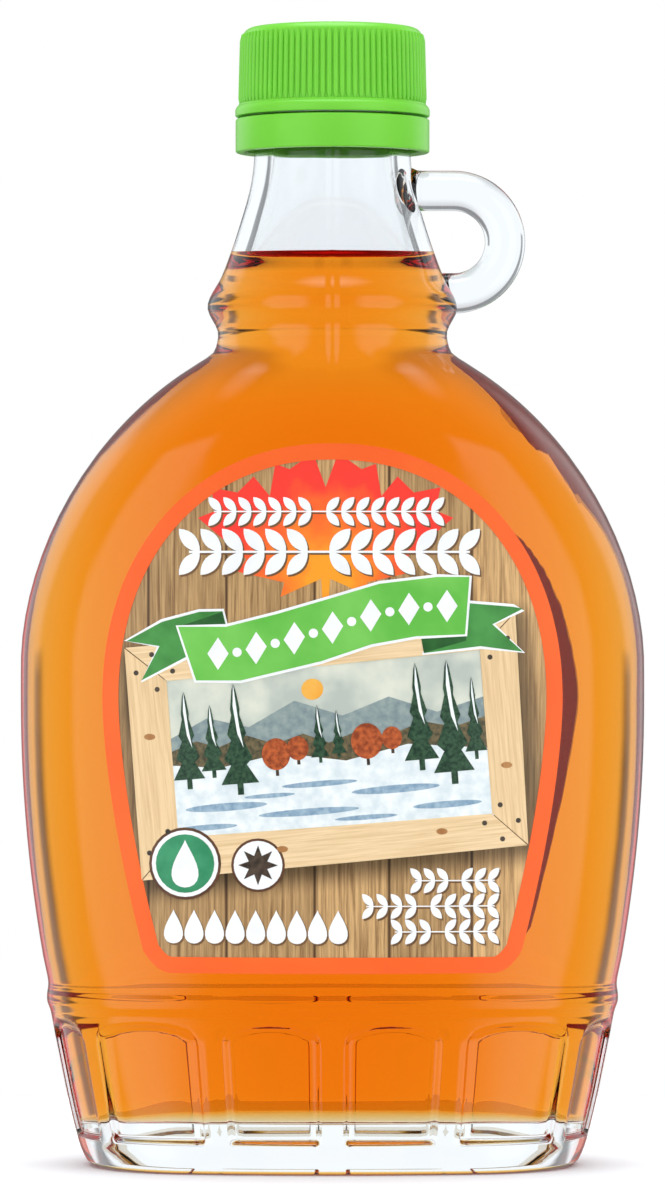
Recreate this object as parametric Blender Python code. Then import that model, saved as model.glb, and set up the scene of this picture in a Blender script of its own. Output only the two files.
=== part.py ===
"""Flask of amber syrup: a moulded glass bottle with a loop ear, a ribbed screw cap and two paper labels.

Lengths below are millimetres until the MM factor makes them metres. +Z is up, the front label faces -Y and
the ear is on the +X side. The origin is on the ground, under the middle of the foot.
"""

import math

import bpy
import bmesh

MM = 0.001
GAP = 0.3                    # clear space between two pieces that touch in the real flask

# Body of the flask: every level section is an oval of four arcs
FACE_RADIUS = 130.0          # radius of the front and back faces, the same all the way up
BODY_HALF_WIDTH = 51.1
BODY_HALF_DEPTH = 24.0
WIDEST_HEIGHT = 76.0
BELLY_RADIUS = 239.0         # the narrow ends bow out with it, from the ledge up to the widest height
SHOULDER_FOOT = 82.0         # the ends stand straight up to here, where a quarter superellipse takes over
SHOULDER_RISE = 56.0         # height of that superellipse
SHOULDER_POWER = 1.85
SHOULDER_END_ANGLE = 62.0    # degrees of it before the neck takes over
FACE_TOP_HEIGHT = 116.0      # the faces stand straight up to here
FACE_BLEND_END = 134.0       # and have bent in to the round waist here
INSIDE_DROP = 0.5            # the inside bends in lower, by this share of the wall

# Neck: round, as (radius, height)
WAIST = (18.75, 136.0)
NECK_STATIONS = (
    (19.3, 133.4),
    WAIST,
    (20.5, 140.5),           # crest of the ring that stands out round the neck
    (18.1, 145.7),
    (15.3, 153.6),
    (13.2, 161.6),
    (12.8, 165.6),
    (12.7, 183.0),
)
MOUTH_HEIGHT = 183.8
LIP_ROUNDING = 0.8

# Foot, tapered base wall and the ledge over it, as (half width, half depth, height)
FOOT_INNER = (35.6, 17.4, 0.0)
FOOT_OUTER = (38.8, 20.6, 0.0)
BASE_STATIONS = (
    (40.5, 22.2, 1.3),
    (41.6, 22.8, 4.0),
    (45.4, 23.5, 21.0),
    (46.2, 23.8, 25.2),
    (46.8, 24.5, 27.5),      # crest of the ledge
)
LEDGE_TOP_HEIGHT = 29.6
PUSH_UP_HEIGHT = 2.4
PUSH_UP_SCALE = 0.55         # size of its shoulder against the foot's inner edge
PUSH_UP_SHOULDER = 0.75      # height of its shoulder, as a share of the whole rise

# Glass thickness
WALL = 3.25
FLOOR_HEIGHT = 8.2           # inside floor over the ground
FLOOR_CROWN = 1.2            # how much its middle is higher
FLOOR_CORNER = 5.0
HEEL = (43.3, 23.3)          # oval round the floor's corner, before the wall is taken off

# Arched flutes round the base: each edge as a share of the way from mid front to mid end
FLUTE_EDGES = ((0.032, 0.312), (0.376, 0.69), (0.742, 0.965))
FLUTE_BOTTOM = 4.8
FLUTE_SPRING = 21.4
FLUTE_RISE = 3.2
FLUTE_DEPTH = 0.65
FLUTE_CUTTER_REACH = 2.0     # how far the cutter stands out of the wall

# Loop ear on the neck: a round bar bent to a C
EAR_CENTRE_X = 19.9
EAR_CENTRE_HEIGHT = 151.2
EAR_BEND_RADIUS = 8.4
EAR_BAR_RADIUS = 3.3
EAR_FLARE = 0.9              # extra bar radius where it runs into the neck
EAR_FLARE_LENGTH = 2.6
EAR_TOP_END_X = 12.4
EAR_LOW_END_X = 18.0

# Syrup
FILL_HEIGHT = 147.7

# Screw cap and its tamper ring
CAP_TOP = 186.2
CAP_BOTTOM = 171.7
CAP_EDGE = 1.6               # rounding of its top edge
CAP_CORE_RADIUS = 15.05
CAP_RIB_RADIUS = 15.5
CAP_RIB_ROOT_RADIUS = 15.15
CAP_TAPER = 0.3              # how much narrower the side is at its top
CAP_RIB_COUNT = 90
CAP_RIB_BOTTOM = 173.7
CAP_RIB_TOP = 184.9
CAP_LIP_RADIUS = 15.95
CAP_INNER_RADIUS = 13.6
CAP_CEILING = 184.4
CAP_LIP_ROUNDING = 0.2
CAP_LIP_HEIGHT = 1.1
RING_TOP = 171.3
RING_BOTTOM = 165.8
RING_RADIUS = 15.9
RING_INNER_RADIUS = 14.3

# Labels: a dome over a tapering skirt with round lower corners
LABEL_HALF_WIDTH = 37.0
LABEL_WIDEST_HEIGHT = 76.4
LABEL_TOP = 117.6
LABEL_BOTTOM = 32.6
LABEL_FOOT_HALF_WIDTH = 29.4
LABEL_CORNER = 3.8           # how far the round lower corner reaches along the bottom edge
LABEL_CORNER_OVERHANG = 0.25 # and past the side edge, as a share of that
LABEL_CORNER_POWER = 2.2
LABEL_SIDE_REACH = 0.9995    # the outermost column stops just short of the widest point
LABEL_THICKNESS = 0.3
LABEL_DOME_POWER = 2.15
LABEL_SKIRT_POWER = 1.6
BACK_LABEL_SHIFT = 1.5       # towards the ear
BACK_LABEL_SCALE = (0.92, 0.94)    # across, and in height

# How finely the curves are cut
COLUMNS = 54
NECK_STEPS = 2
INNER_NECK_STEPS = 1
SHOULDER_STEPS = 8
INNER_SHOULDER_STEPS = 6
BELLY_STEPS = 3
CORNER_STEPS = 3
LABEL_COLUMNS = 36
ROUND_COLUMNS = 60
CAP_EDGE_STEPS = 3


def clear_scene():
    for old in list(bpy.data.objects):
        bpy.data.objects.remove(old, do_unlink=True)


def plain_material(name, colour, roughness, transmission=0.0, ior=1.45):
    material = bpy.data.materials.new(name)
    material.use_nodes = True
    shader = material.node_tree.nodes["Principled BSDF"]
    shader.inputs["Base Color"].default_value = (*colour, 1.0)
    shader.inputs["Roughness"].default_value = roughness
    shader.inputs["Metallic"].default_value = 0.0
    shader.inputs["Transmission Weight"].default_value = transmission
    shader.inputs["IOR"].default_value = ior
    material.diffuse_color = (*colour, 1.0)
    return material


def arc_radii(half_width, half_depth, face_radius):
    """Radius of the two end arcs, and the offset of their centres from the middle."""
    spare = face_radius ** 2 - half_width ** 2 - (face_radius - half_depth) ** 2
    end_radius = spare / (2 * (face_radius - half_width))
    return end_radius, half_width - end_radius


def oval_ring(half_width, half_depth, height, face_radius=FACE_RADIUS, columns=COLUMNS):
    """Points of a four-arc oval, spaced evenly by the way that the wall faces."""
    end_radius, end_centre = arc_radii(half_width, half_depth, face_radius)
    face_share = end_centre / (face_radius - end_radius)
    ring = []
    for column in range(columns):
        angle = 2 * math.pi * column / columns
        across = math.cos(angle)
        forward = math.sin(angle)
        if abs(across) < face_share:
            face_centre = -math.copysign(face_radius - half_depth, forward)
            ring.append((face_radius * across, face_centre + face_radius * forward, height))
        else:
            centre = math.copysign(end_centre, across)
            ring.append((centre + end_radius * across, end_radius * forward, height))
    return ring


def wall_point(share, half_width, half_depth, height):
    """Point on the oval, a share of the way round from mid front to mid end, on the -Y, +X quarter."""
    end_radius, end_centre = arc_radii(half_width, half_depth, FACE_RADIUS)
    turn = math.asin(end_centre / (FACE_RADIUS - end_radius))
    face_length = FACE_RADIUS * turn
    end_length = end_radius * (math.pi / 2 - turn)
    run = share * (face_length + end_length)
    if run < face_length:
        angle = run / FACE_RADIUS
        return (
            FACE_RADIUS * math.sin(angle),
            FACE_RADIUS - half_depth - FACE_RADIUS * math.cos(angle),
            height,
        )
    angle = turn + (run - face_length) / end_radius
    return (end_centre + end_radius * math.sin(angle), -end_radius * math.cos(angle), height)


def spline(points, steps):
    """Catmull-Rom curve through the points, with its ends held."""
    padded = [points[0], *points, points[-1]]
    curve = []
    for index in range(1, len(padded) - 2):
        before, start, end, after = padded[index - 1:index + 3]
        for step in range(steps):
            t = step / steps
            curve.append(tuple(
                0.5 * (2 * b + (c - a) * t + (2 * a - 5 * b + 4 * c - d) * t ** 2
                       + (3 * b - a - 3 * c + d) * t ** 3)
                for a, b, c, d in zip(before, start, end, after)
            ))
    curve.append(tuple(points[-1]))
    return curve


def smooth_step(value):
    value = min(max(value, 0.0), 1.0)
    return value * value * (3 - 2 * value)


def half_depth_at(height, inset=0.0):
    """Half depth of the body: straight faces, then a soft S up to the waist."""
    start = FACE_TOP_HEIGHT - INSIDE_DROP * inset
    end = FACE_BLEND_END - INSIDE_DROP * inset
    blend = smooth_step((height - start) / (end - start))
    return (BODY_HALF_DEPTH - inset) * (1 - blend) + (WAIST[0] - inset) * blend


def belly(inset, lowest, steps):
    """Narrow ends of the body, bowed out from the given height up to the widest height."""
    levels = []
    for step in range(steps + 1):
        height = lowest + (WIDEST_HEIGHT - lowest) * step / steps
        bow = (WIDEST_HEIGHT - height) ** 2 / (2 * BELLY_RADIUS)
        levels.append((BODY_HALF_WIDTH - inset - bow, BODY_HALF_DEPTH - inset, height))
    return levels


def shoulder(inset, steps):
    """Quarter superellipse from the straight ends up to the foot of the neck."""
    levels = []
    for step in range(steps + 1):
        angle = math.radians(SHOULDER_END_ANGLE) * step / steps
        height = SHOULDER_FOOT + (SHOULDER_RISE - inset) * math.sin(angle) ** (2 / SHOULDER_POWER)
        width = (BODY_HALF_WIDTH - inset) * math.cos(angle) ** (2 / SHOULDER_POWER)
        levels.append((width, min(width, half_depth_at(height, inset)), height))
    return levels


def neck(inset, steps):
    """Waist, ring and tapering neck, all round."""
    rounds = [(radius - inset, radius - inset, height) for radius, height in NECK_STATIONS]
    return spline(rounds, steps)


def outer_levels():
    """Outside of the glass from the foot to the mouth, as (half width, half depth, height)."""
    lip_radius = NECK_STATIONS[-1][0]
    levels = [FOOT_OUTER, *BASE_STATIONS]
    levels += belly(0.0, LEDGE_TOP_HEIGHT, BELLY_STEPS)
    levels += shoulder(0.0, SHOULDER_STEPS)
    levels += neck(0.0, NECK_STEPS)
    levels.append((lip_radius - LIP_ROUNDING, lip_radius - LIP_ROUNDING, MOUTH_HEIGHT))
    return levels


def inner_levels(inset):
    """Inside of the glass from the floor to the neck, set in from the outside by the wall and any gap."""
    floor = FLOOR_HEIGHT + inset - WALL
    corner_height = floor + FLOOR_CORNER
    low_width = HEEL[0] - inset
    low_depth = HEEL[1] - inset
    levels = []
    for step in range(CORNER_STEPS + 1):
        angle = math.pi / 2 * step / CORNER_STEPS
        draw_in = FLOOR_CORNER * (1 - math.sin(angle))
        height = corner_height - FLOOR_CORNER * math.cos(angle)
        levels.append((low_width - draw_in, low_depth - draw_in, height))
    levels += belly(inset, LEDGE_TOP_HEIGHT, BELLY_STEPS)
    levels += shoulder(inset, INNER_SHOULDER_STEPS)
    levels += neck(inset, INNER_NECK_STEPS)
    return levels


def skin(name, rings, material, closed=False, start_tip=None, end_tip=None):
    """Mesh object through the rings. A closed one joins its last ring to its first, an open one ends in tips."""
    mesh = bmesh.new()
    loops = [[mesh.verts.new([value * MM for value in point]) for point in ring] for ring in rings]
    count = len(loops[0])
    pairs = list(zip(loops, loops[1:]))
    if closed:
        pairs.append((loops[-1], loops[0]))
    for lower, upper in pairs:
        for index in range(count):
            following = (index + 1) % count
            mesh.faces.new((lower[index], lower[following], upper[following], upper[index]))
    for loop, tip in ((loops[0], start_tip), (loops[-1], end_tip)):
        if closed:
            continue
        if tip is None:
            mesh.faces.new(loop)
            continue
        centre = mesh.verts.new([value * MM for value in tip])
        for index in range(count):
            mesh.faces.new((loop[index], loop[(index + 1) % count], centre))
    bmesh.ops.recalc_face_normals(mesh, faces=mesh.faces[:])
    return mesh_object(name, mesh, material)


def mesh_object(name, mesh, material):
    data = bpy.data.meshes.new(name)
    mesh.to_mesh(data)
    mesh.free()
    data.shade_smooth()
    data.set_sharp_from_angle(angle=math.radians(35))
    made = bpy.data.objects.new(name, data)
    bpy.context.scene.collection.objects.link(made)
    if material is not None:
        data.materials.append(material)
    return made


def hide_helper(helper):
    helper.hide_render = True
    helper.display_type = "WIRE"


def add_boolean(target, helper, operation):
    modifier = target.modifiers.new(helper.name, "BOOLEAN")
    modifier.operation = operation
    modifier.solver = "EXACT"
    modifier.object = helper
    hide_helper(helper)


def base_level_at(height):
    """Half width and half depth of the base wall at a height between two of its stations."""
    for low, high in zip(BASE_STATIONS, BASE_STATIONS[1:]):
        if height <= high[2]:
            t = (height - low[2]) / (high[2] - low[2])
            return tuple(a + (b - a) * t for a, b in zip(low[:2], high[:2]))
    return BASE_STATIONS[-1][:2]


def flute_cutter():
    """Twelve arched slabs whose inner faces follow the base wall, a little way in."""
    columns = 6
    rows = 3
    mesh = bmesh.new()
    for start, end in FLUTE_EDGES:
        for side in (1, -1):
            for face in (1, -1):
                layers = []
                for inset in (FLUTE_DEPTH, -FLUTE_CUTTER_REACH):
                    grid = []
                    for column in range(columns + 1):
                        part = column / columns
                        share = start + (end - start) * part
                        arch = FLUTE_RISE * math.sqrt(max(0.0, 1 - (2 * part - 1) ** 2))
                        top = FLUTE_SPRING + arch
                        line = []
                        for row in range(rows + 1):
                            height = FLUTE_BOTTOM + (top - FLUTE_BOTTOM) * row / rows
                            width, depth = base_level_at(height)
                            point = wall_point(share, width - inset, depth - inset, height)
                            place = (point[0] * side * MM, point[1] * face * MM, height * MM)
                            line.append(mesh.verts.new(place))
                        grid.append(line)
                    layers.append(grid)
                close_slab(mesh, layers, columns, rows)
    bmesh.ops.recalc_face_normals(mesh, faces=mesh.faces[:])
    cutter = mesh_object("flute_cutter", mesh, None)
    return cutter


def close_slab(mesh, layers, columns, rows):
    """Faces of a slab between two grids of points that match."""
    for grid in layers:
        for column in range(columns):
            for row in range(rows):
                mesh.faces.new((
                    grid[column][row], grid[column + 1][row],
                    grid[column + 1][row + 1], grid[column][row + 1],
                ))
    edge = [(column, 0) for column in range(columns)]
    edge += [(columns, row) for row in range(rows)]
    edge += [(column, rows) for column in range(columns, 0, -1)]
    edge += [(0, row) for row in range(rows, 0, -1)]
    inner, outer = layers
    for (column, row), (next_column, next_row) in zip(edge, edge[1:] + edge[:1]):
        mesh.faces.new((
            inner[column][row], inner[next_column][next_row],
            outer[next_column][next_row], outer[column][row],
        ))


def ear_bar():
    """Round bar bent to a C, with both ends buried in the wall of the neck."""
    sides = 16
    bend_steps = 12
    top = EAR_CENTRE_HEIGHT + EAR_BEND_RADIUS
    low = EAR_CENTRE_HEIGHT - EAR_BEND_RADIUS
    path = [
        (EAR_TOP_END_X, top, math.pi / 2, EAR_FLARE),
        (EAR_TOP_END_X + EAR_FLARE_LENGTH, top, math.pi / 2, 0.0),
    ]
    for step in range(bend_steps + 1):
        angle = math.pi / 2 - math.pi * step / bend_steps
        x = EAR_CENTRE_X + EAR_BEND_RADIUS * math.cos(angle)
        path.append((x, EAR_CENTRE_HEIGHT + EAR_BEND_RADIUS * math.sin(angle), angle, 0.0))
    path.append((EAR_LOW_END_X, low, -math.pi / 2, 0.0))
    rings = []
    for x, height, angle, flare in path:
        radius = EAR_BAR_RADIUS + flare
        ring = []
        for side in range(sides):
            turn = 2 * math.pi * side / sides
            out = radius * math.cos(turn)
            ring.append((
                x + out * math.cos(angle), radius * math.sin(turn), height + out * math.sin(angle),
            ))
        rings.append(ring)
    return skin("ear_bar", rings, None)


def make_bottle():
    """One piece of moulded glass: hollow flask, foot, ledge, flutes and ear, with its mouth open."""
    outside = [oval_ring(*level) for level in outer_levels()]
    inside = [
        oval_ring(width, depth, height, FACE_RADIUS - WALL)
        for width, depth, height in inner_levels(WALL)
    ]
    mouth_radius = NECK_STATIONS[-1][0] - WALL
    lip = [oval_ring(mouth_radius + LIP_ROUNDING, mouth_radius + LIP_ROUNDING, MOUTH_HEIGHT)]
    dome = [value * PUSH_UP_SCALE for value in FOOT_INNER[:2]]
    underside = [oval_ring(*dome, PUSH_UP_HEIGHT * PUSH_UP_SHOULDER), oval_ring(*FOOT_INNER)]
    glass = plain_material("clear_glass", (0.93, 0.96, 0.95), 0.03, transmission=1.0, ior=1.5)
    bottle = skin(
        "bottle",
        underside + outside + lip + inside[::-1],
        glass,
        start_tip=(0.0, 0.0, PUSH_UP_HEIGHT),
        end_tip=(0.0, 0.0, FLOOR_HEIGHT + FLOOR_CROWN),
    )
    add_boolean(bottle, flute_cutter(), "DIFFERENCE")
    add_boolean(bottle, ear_bar(), "UNION")
    return bottle


def make_syrup():
    """Amber syrup up to its level in the neck, just clear of the glass."""
    inset = WALL + GAP
    levels = [level for level in inner_levels(inset) if level[2] < FILL_HEIGHT - 0.5]
    below, above = bracket(inner_levels(inset), FILL_HEIGHT)
    t = (FILL_HEIGHT - below[2]) / (above[2] - below[2])
    radius = below[0] + (above[0] - below[0]) * t
    levels.append((radius, radius, FILL_HEIGHT))
    rings = [
        oval_ring(width, depth, height, FACE_RADIUS - inset) for width, depth, height in levels
    ]
    amber = plain_material("amber_syrup", (0.85, 0.28, 0.02), 0.05, transmission=0.6, ior=1.46)
    floor = FLOOR_HEIGHT + FLOOR_CROWN + GAP
    return skin("syrup", rings, amber, start_tip=(0.0, 0.0, floor), end_tip=(0.0, 0.0, FILL_HEIGHT))


def bracket(levels, height):
    """The two neighbouring levels that lie just below and just above a height."""
    for low, high in zip(levels, levels[1:]):
        if low[2] <= height < high[2]:
            return low, high
    return levels[-2:]


def turned(name, profile, material, closed=False, start_tip=None, end_tip=None):
    """Round piece turned from a profile of (radius, height)."""
    rings = [
        [
            (
                radius * math.cos(2 * math.pi * column / ROUND_COLUMNS),
                radius * math.sin(2 * math.pi * column / ROUND_COLUMNS),
                height,
            )
            for column in range(ROUND_COLUMNS)
        ]
        for radius, height in profile
    ]
    return skin(name, rings, material, closed, start_tip, end_tip)


def rib_band():
    """Ring of fine upright ribs, rooted in the wall of the cap, which lean in with it."""
    root_radius = (CAP_CORE_RADIUS + CAP_INNER_RADIUS) / 2
    count = 2 * CAP_RIB_COUNT
    rings = []
    for radius_pair, height in (
        ((root_radius, root_radius), CAP_RIB_BOTTOM),
        ((CAP_RIB_RADIUS, CAP_RIB_ROOT_RADIUS), CAP_RIB_BOTTOM),
        ((CAP_RIB_RADIUS - CAP_TAPER, CAP_RIB_ROOT_RADIUS - CAP_TAPER), CAP_RIB_TOP),
        ((root_radius, root_radius), CAP_RIB_TOP),
    ):
        ring = []
        for index in range(count):
            angle = 2 * math.pi * index / count
            radius = radius_pair[index % 2]
            ring.append((radius * math.cos(angle), radius * math.sin(angle), height))
        rings.append(ring)
    return skin("rib_band", rings, None, closed=True)


def make_cap(plastic):
    """Screw cap: a hollow cup with a lip at its lower edge, ribs up its side and a round top edge."""
    profile = [
        (CAP_INNER_RADIUS, CAP_CEILING),
        (CAP_INNER_RADIUS, CAP_BOTTOM),
        (CAP_LIP_RADIUS - CAP_LIP_ROUNDING, CAP_BOTTOM),
        (CAP_LIP_RADIUS, CAP_BOTTOM + CAP_LIP_ROUNDING),
        (CAP_LIP_RADIUS, CAP_BOTTOM + CAP_LIP_HEIGHT),
        (CAP_RIB_RADIUS, CAP_RIB_BOTTOM),
        (CAP_CORE_RADIUS, CAP_RIB_BOTTOM + CAP_LIP_ROUNDING),
    ]
    edge_centre = CAP_CORE_RADIUS - CAP_TAPER - CAP_EDGE
    for step in range(CAP_EDGE_STEPS + 1):
        angle = math.pi / 2 * step / CAP_EDGE_STEPS
        height = CAP_TOP - CAP_EDGE * (1 - math.sin(angle))
        profile.append((edge_centre + CAP_EDGE * math.cos(angle), height))
    cap = turned(
        "cap", profile, plastic,
        start_tip=(0.0, 0.0, CAP_CEILING), end_tip=(0.0, 0.0, CAP_TOP),
    )
    add_boolean(cap, rib_band(), "UNION")
    return cap


def make_tamper_ring(plastic):
    """Plain band that the cap breaks away from, round the neck under the slit."""
    edge = 0.35
    profile = (
        (RING_INNER_RADIUS, RING_TOP),
        (RING_INNER_RADIUS, RING_BOTTOM + edge),
        (RING_INNER_RADIUS + edge, RING_BOTTOM),
        (RING_RADIUS - edge, RING_BOTTOM),
        (RING_RADIUS, RING_BOTTOM + edge),
        (RING_RADIUS, RING_TOP - 0.5 * edge),
        (RING_RADIUS - 0.5 * edge, RING_TOP),
    )
    return turned("tamper_ring", profile, plastic, closed=True)


def skirt_height(x):
    """Height of the label's tapering side edge, a distance from the middle."""
    reach = max(0.0, LABEL_HALF_WIDTH - x) / (LABEL_HALF_WIDTH - LABEL_FOOT_HALF_WIDTH)
    return LABEL_WIDEST_HEIGHT - (LABEL_WIDEST_HEIGHT - LABEL_BOTTOM) * reach ** (1 / LABEL_SKIRT_POWER)


def label_edges(x):
    """Lowest and highest point of the label, a distance from its middle."""
    share = min(abs(x) / LABEL_HALF_WIDTH, 1.0)
    dome = (1 - share ** LABEL_DOME_POWER) ** (1 / LABEL_DOME_POWER)
    high = LABEL_WIDEST_HEIGHT + (LABEL_TOP - LABEL_WIDEST_HEIGHT) * dome
    corner_start = LABEL_FOOT_HALF_WIDTH - LABEL_CORNER
    corner_end = LABEL_FOOT_HALF_WIDTH + LABEL_CORNER_OVERHANG * LABEL_CORNER
    if abs(x) <= corner_start:
        low = LABEL_BOTTOM
    elif abs(x) < corner_end:
        # a smooth bend from the bottom edge to the side edge
        part = (abs(x) - corner_start) / (corner_end - corner_start)
        low = LABEL_BOTTOM + (skirt_height(corner_end) - LABEL_BOTTOM) * part ** LABEL_CORNER_POWER
    else:
        low = skirt_height(abs(x))
    return low, high


def make_label(name, material, face, shift, scale):
    """Paper label bent round one face of the body. Face is -1 for the front and 1 for the back."""
    mesh = bmesh.new()
    layers = []
    middle = (LABEL_TOP + LABEL_BOTTOM) / 2
    for lift in (GAP, GAP + LABEL_THICKNESS):
        radius = FACE_RADIUS + lift
        grid = []
        for column in range(LABEL_COLUMNS + 1):
            # columns crowd towards the sides, where the outline turns
            across = -LABEL_SIDE_REACH * LABEL_HALF_WIDTH * math.cos(math.pi * column / LABEL_COLUMNS)
            x = (across * scale[0] + shift) * radius / FACE_RADIUS
            y = face * (BODY_HALF_DEPTH - FACE_RADIUS + math.sqrt(radius ** 2 - x ** 2))
            low, high = label_edges(across)
            grid.append([
                mesh.verts.new((x * MM, y * MM, (middle + (height - middle) * scale[1]) * MM))
                for height in (low, high)
            ])
        layers.append(grid)
    close_slab(mesh, layers, LABEL_COLUMNS, 1)
    bmesh.ops.recalc_face_normals(mesh, faces=mesh.faces[:])
    return mesh_object(name, mesh, material)


def main():
    clear_scene()
    make_bottle()
    make_syrup()
    green = plain_material("green_plastic", (0.20, 0.68, 0.06), 0.38)
    make_cap(green)
    make_tamper_ring(green)
    print_paper = plain_material("printed_paper", (0.95, 0.30, 0.07), 0.45)
    make_label("front_label", print_paper, -1, 0.0, (1.0, 1.0))
    back_paper = plain_material("back_paper", (0.93, 0.32, 0.09), 0.5)
    make_label("back_label", back_paper, 1, BACK_LABEL_SHIFT, BACK_LABEL_SCALE)


main()
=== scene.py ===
import bisect
import math

import bmesh
import bpy
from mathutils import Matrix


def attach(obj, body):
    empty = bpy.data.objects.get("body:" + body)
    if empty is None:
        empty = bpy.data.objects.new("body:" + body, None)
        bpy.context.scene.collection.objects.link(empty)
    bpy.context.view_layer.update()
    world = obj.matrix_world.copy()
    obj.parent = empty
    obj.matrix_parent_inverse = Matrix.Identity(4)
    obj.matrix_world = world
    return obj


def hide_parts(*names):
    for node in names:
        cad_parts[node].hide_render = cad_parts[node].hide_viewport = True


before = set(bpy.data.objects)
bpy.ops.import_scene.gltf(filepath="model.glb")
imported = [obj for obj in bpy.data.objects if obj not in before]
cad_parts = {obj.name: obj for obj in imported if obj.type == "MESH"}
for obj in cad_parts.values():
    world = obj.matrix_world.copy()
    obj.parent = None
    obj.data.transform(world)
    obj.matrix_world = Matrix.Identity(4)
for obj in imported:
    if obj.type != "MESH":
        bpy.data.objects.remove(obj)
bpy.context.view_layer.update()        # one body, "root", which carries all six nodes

# Bottle
# One piece of clear soda-lime glass, blown in a two-part mould with its loop ear: an oval flask with arched
# flutes pressed round its base, a ledge over them and a ring round the neck. Everything else is fixed to it.
MM = 0.001
FACE_RADIUS = 130.0          # of the broad front and back, in millimetres, as every size below
HALF_WIDTH = 51.1
HALF_DEPTH = 24.0
WIDEST_HEIGHT = 76.0
BELLY_RADIUS = 239.0
SHOULDER_FOOT = 82.0
SHOULDER_RISE = 56.0
SHOULDER_POWER = 1.85
SHOULDER_END = math.radians(62)
BELLY_STEPS = 12
SHOULDER_STEPS = 22
FACE_TOP_HEIGHT = 116.0
FACE_BLEND_END = 134.0
WAIST_RADIUS = 18.75
BASE_WALL = (                # (height, half width, half depth) from the foot to the crest of the ledge
    (0.0, 38.8, 20.6),
    (0.5, 39.9, 21.7),
    (1.3, 40.5, 22.2),
    (4.0, 41.6, 22.8),
    (21.0, 45.4, 23.5),
    (25.2, 46.2, 23.8),
    (27.2, 46.8, 24.5),
    (27.8, 46.8, 24.5),
)
LEDGE_HEIGHT = 29.6
NECK_WALL = (                # (height, radius)
    (133.4, 19.3),
    (136.0, WAIST_RADIUS),
    (140.5, 20.5),
    (145.7, 18.1),
    (153.6, 15.3),
    (161.6, 13.2),
    (165.6, 12.8),
    (183.0, 12.7),
)
LIP_ROUNDING = 0.8
LIP_STEPS = 4
FOOT_INNER = (35.6, 17.4)
PUSH_UP_HEIGHT = 2.4
PUSH_UP_POWER = 2.3
PUSH_UP_SHARES = (0.15, 0.35, 0.55, 0.75, 0.9, 0.97, 1.0)
WALL = 3.25
HEEL = (43.3, 23.3)          # oval round the corner of the inside floor, before the wall is taken off
FLOOR_HEIGHT = 8.2
FLOOR_CROWN = 1.2
FLOOR_CORNER = 5.0
FLOOR_SHARES = (0.12, 0.3, 0.5, 0.68, 0.84)
FLUTES = ((0.032, 0.312), (0.376, 0.69), (0.742, 0.965))    # edges, as shares from mid front to mid end
FLUTE_BOTTOM = 4.8
FLUTE_SPRING = 21.4
FLUTE_RISE = 3.2
FLUTE_DEPTH = 1.0
FLUTE_SIDE_COVE = 1.1
FLUTE_TOP_COVE = 1.3
SEAM_HEIGHT = 0.3            # the mould's parting line up the front and back of the neck
SEAM_HALF_WIDTH = 1.3
SEAM_BOTTOM = 126.0
SEAM_SHARES = (0.0, 0.008, 0.016, 0.024)     # where columns stand over half of it
QUARTER_LENGTH = 58.0        # from mid front to mid end, measured round the base
WETTED_TO = 148.7            # the syrup stands against the inside up to here
OUTSIDE_RUNS = (             # (start, end, rings) in height: close together over coves, ledge and neck
    (0, 1.3, 5), (1.3, 4.6, 4), (4.6, 6.2, 6), (6.2, 20, 10), (20, 31, 26), (31, 116, 26), (116, 150, 38),
    (150, 183, 22),
)
GLASS_IOR = 1.5
SHARP_ANGLE = math.radians(40)


def smooth_step(value):
    value = min(max(value, 0.0), 1.0)
    return value * value * (3 - 2 * value)


def line_through(stations):
    """Sizes as a smooth function of height through the stations, which never swings past one of them."""
    heights, *sizes = zip(*stations)
    spans = [high - low for low, high in zip(heights, heights[1:])]
    leans = []
    for values in sizes:
        secants = [(b - a) / span for a, b, span in zip(values, values[1:], spans)]
        inner = [0.0 if a * b <= 0 else 2 * a * b / (a + b) for a, b in zip(secants, secants[1:])]
        leans.append([secants[0], *inner, secants[-1]])

    def at(height):
        index = min(max(bisect.bisect_right(heights, height) - 1, 0), len(spans) - 1)
        span = spans[index]
        t = (height - heights[index]) / span
        return [
            (1 + 2 * t) * (1 - t) ** 2 * values[index] + t * (1 - t) ** 2 * span * lean[index]
            + t * t * (3 - 2 * t) * values[index + 1] + t * t * (t - 1) * span * lean[index + 1]
            for values, lean in zip(sizes, leans)
        ]

    return at


def face_depth(height, inset):
    """Half depth of the body: straight faces, which bend in to the round waist."""
    start = FACE_TOP_HEIGHT - inset / 2
    end = FACE_BLEND_END - inset / 2
    blend = smooth_step((height - start) / (end - start))
    return (HALF_DEPTH - inset) * (1 - blend) + (WAIST_RADIUS - inset) * blend


def body_stations(inset):
    """(height, half width, half depth) from the ledge to the mouth, a distance in from the outside."""
    stations = []
    for step in range(BELLY_STEPS + 1):
        height = LEDGE_HEIGHT + (WIDEST_HEIGHT - LEDGE_HEIGHT) * step / BELLY_STEPS
        bow = (WIDEST_HEIGHT - height) ** 2 / (2 * BELLY_RADIUS)
        stations.append((height, HALF_WIDTH - inset - bow, HALF_DEPTH - inset))
    for step in range(SHOULDER_STEPS + 1):
        angle = SHOULDER_END * step / SHOULDER_STEPS
        height = SHOULDER_FOOT + (SHOULDER_RISE - inset) * math.sin(angle) ** (2 / SHOULDER_POWER)
        width = (HALF_WIDTH - inset) * math.cos(angle) ** (2 / SHOULDER_POWER)
        stations.append((height, width, min(width, face_depth(height, inset))))
    stations += [(height, radius - inset, radius - inset) for height, radius in NECK_WALL]
    return stations


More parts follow.
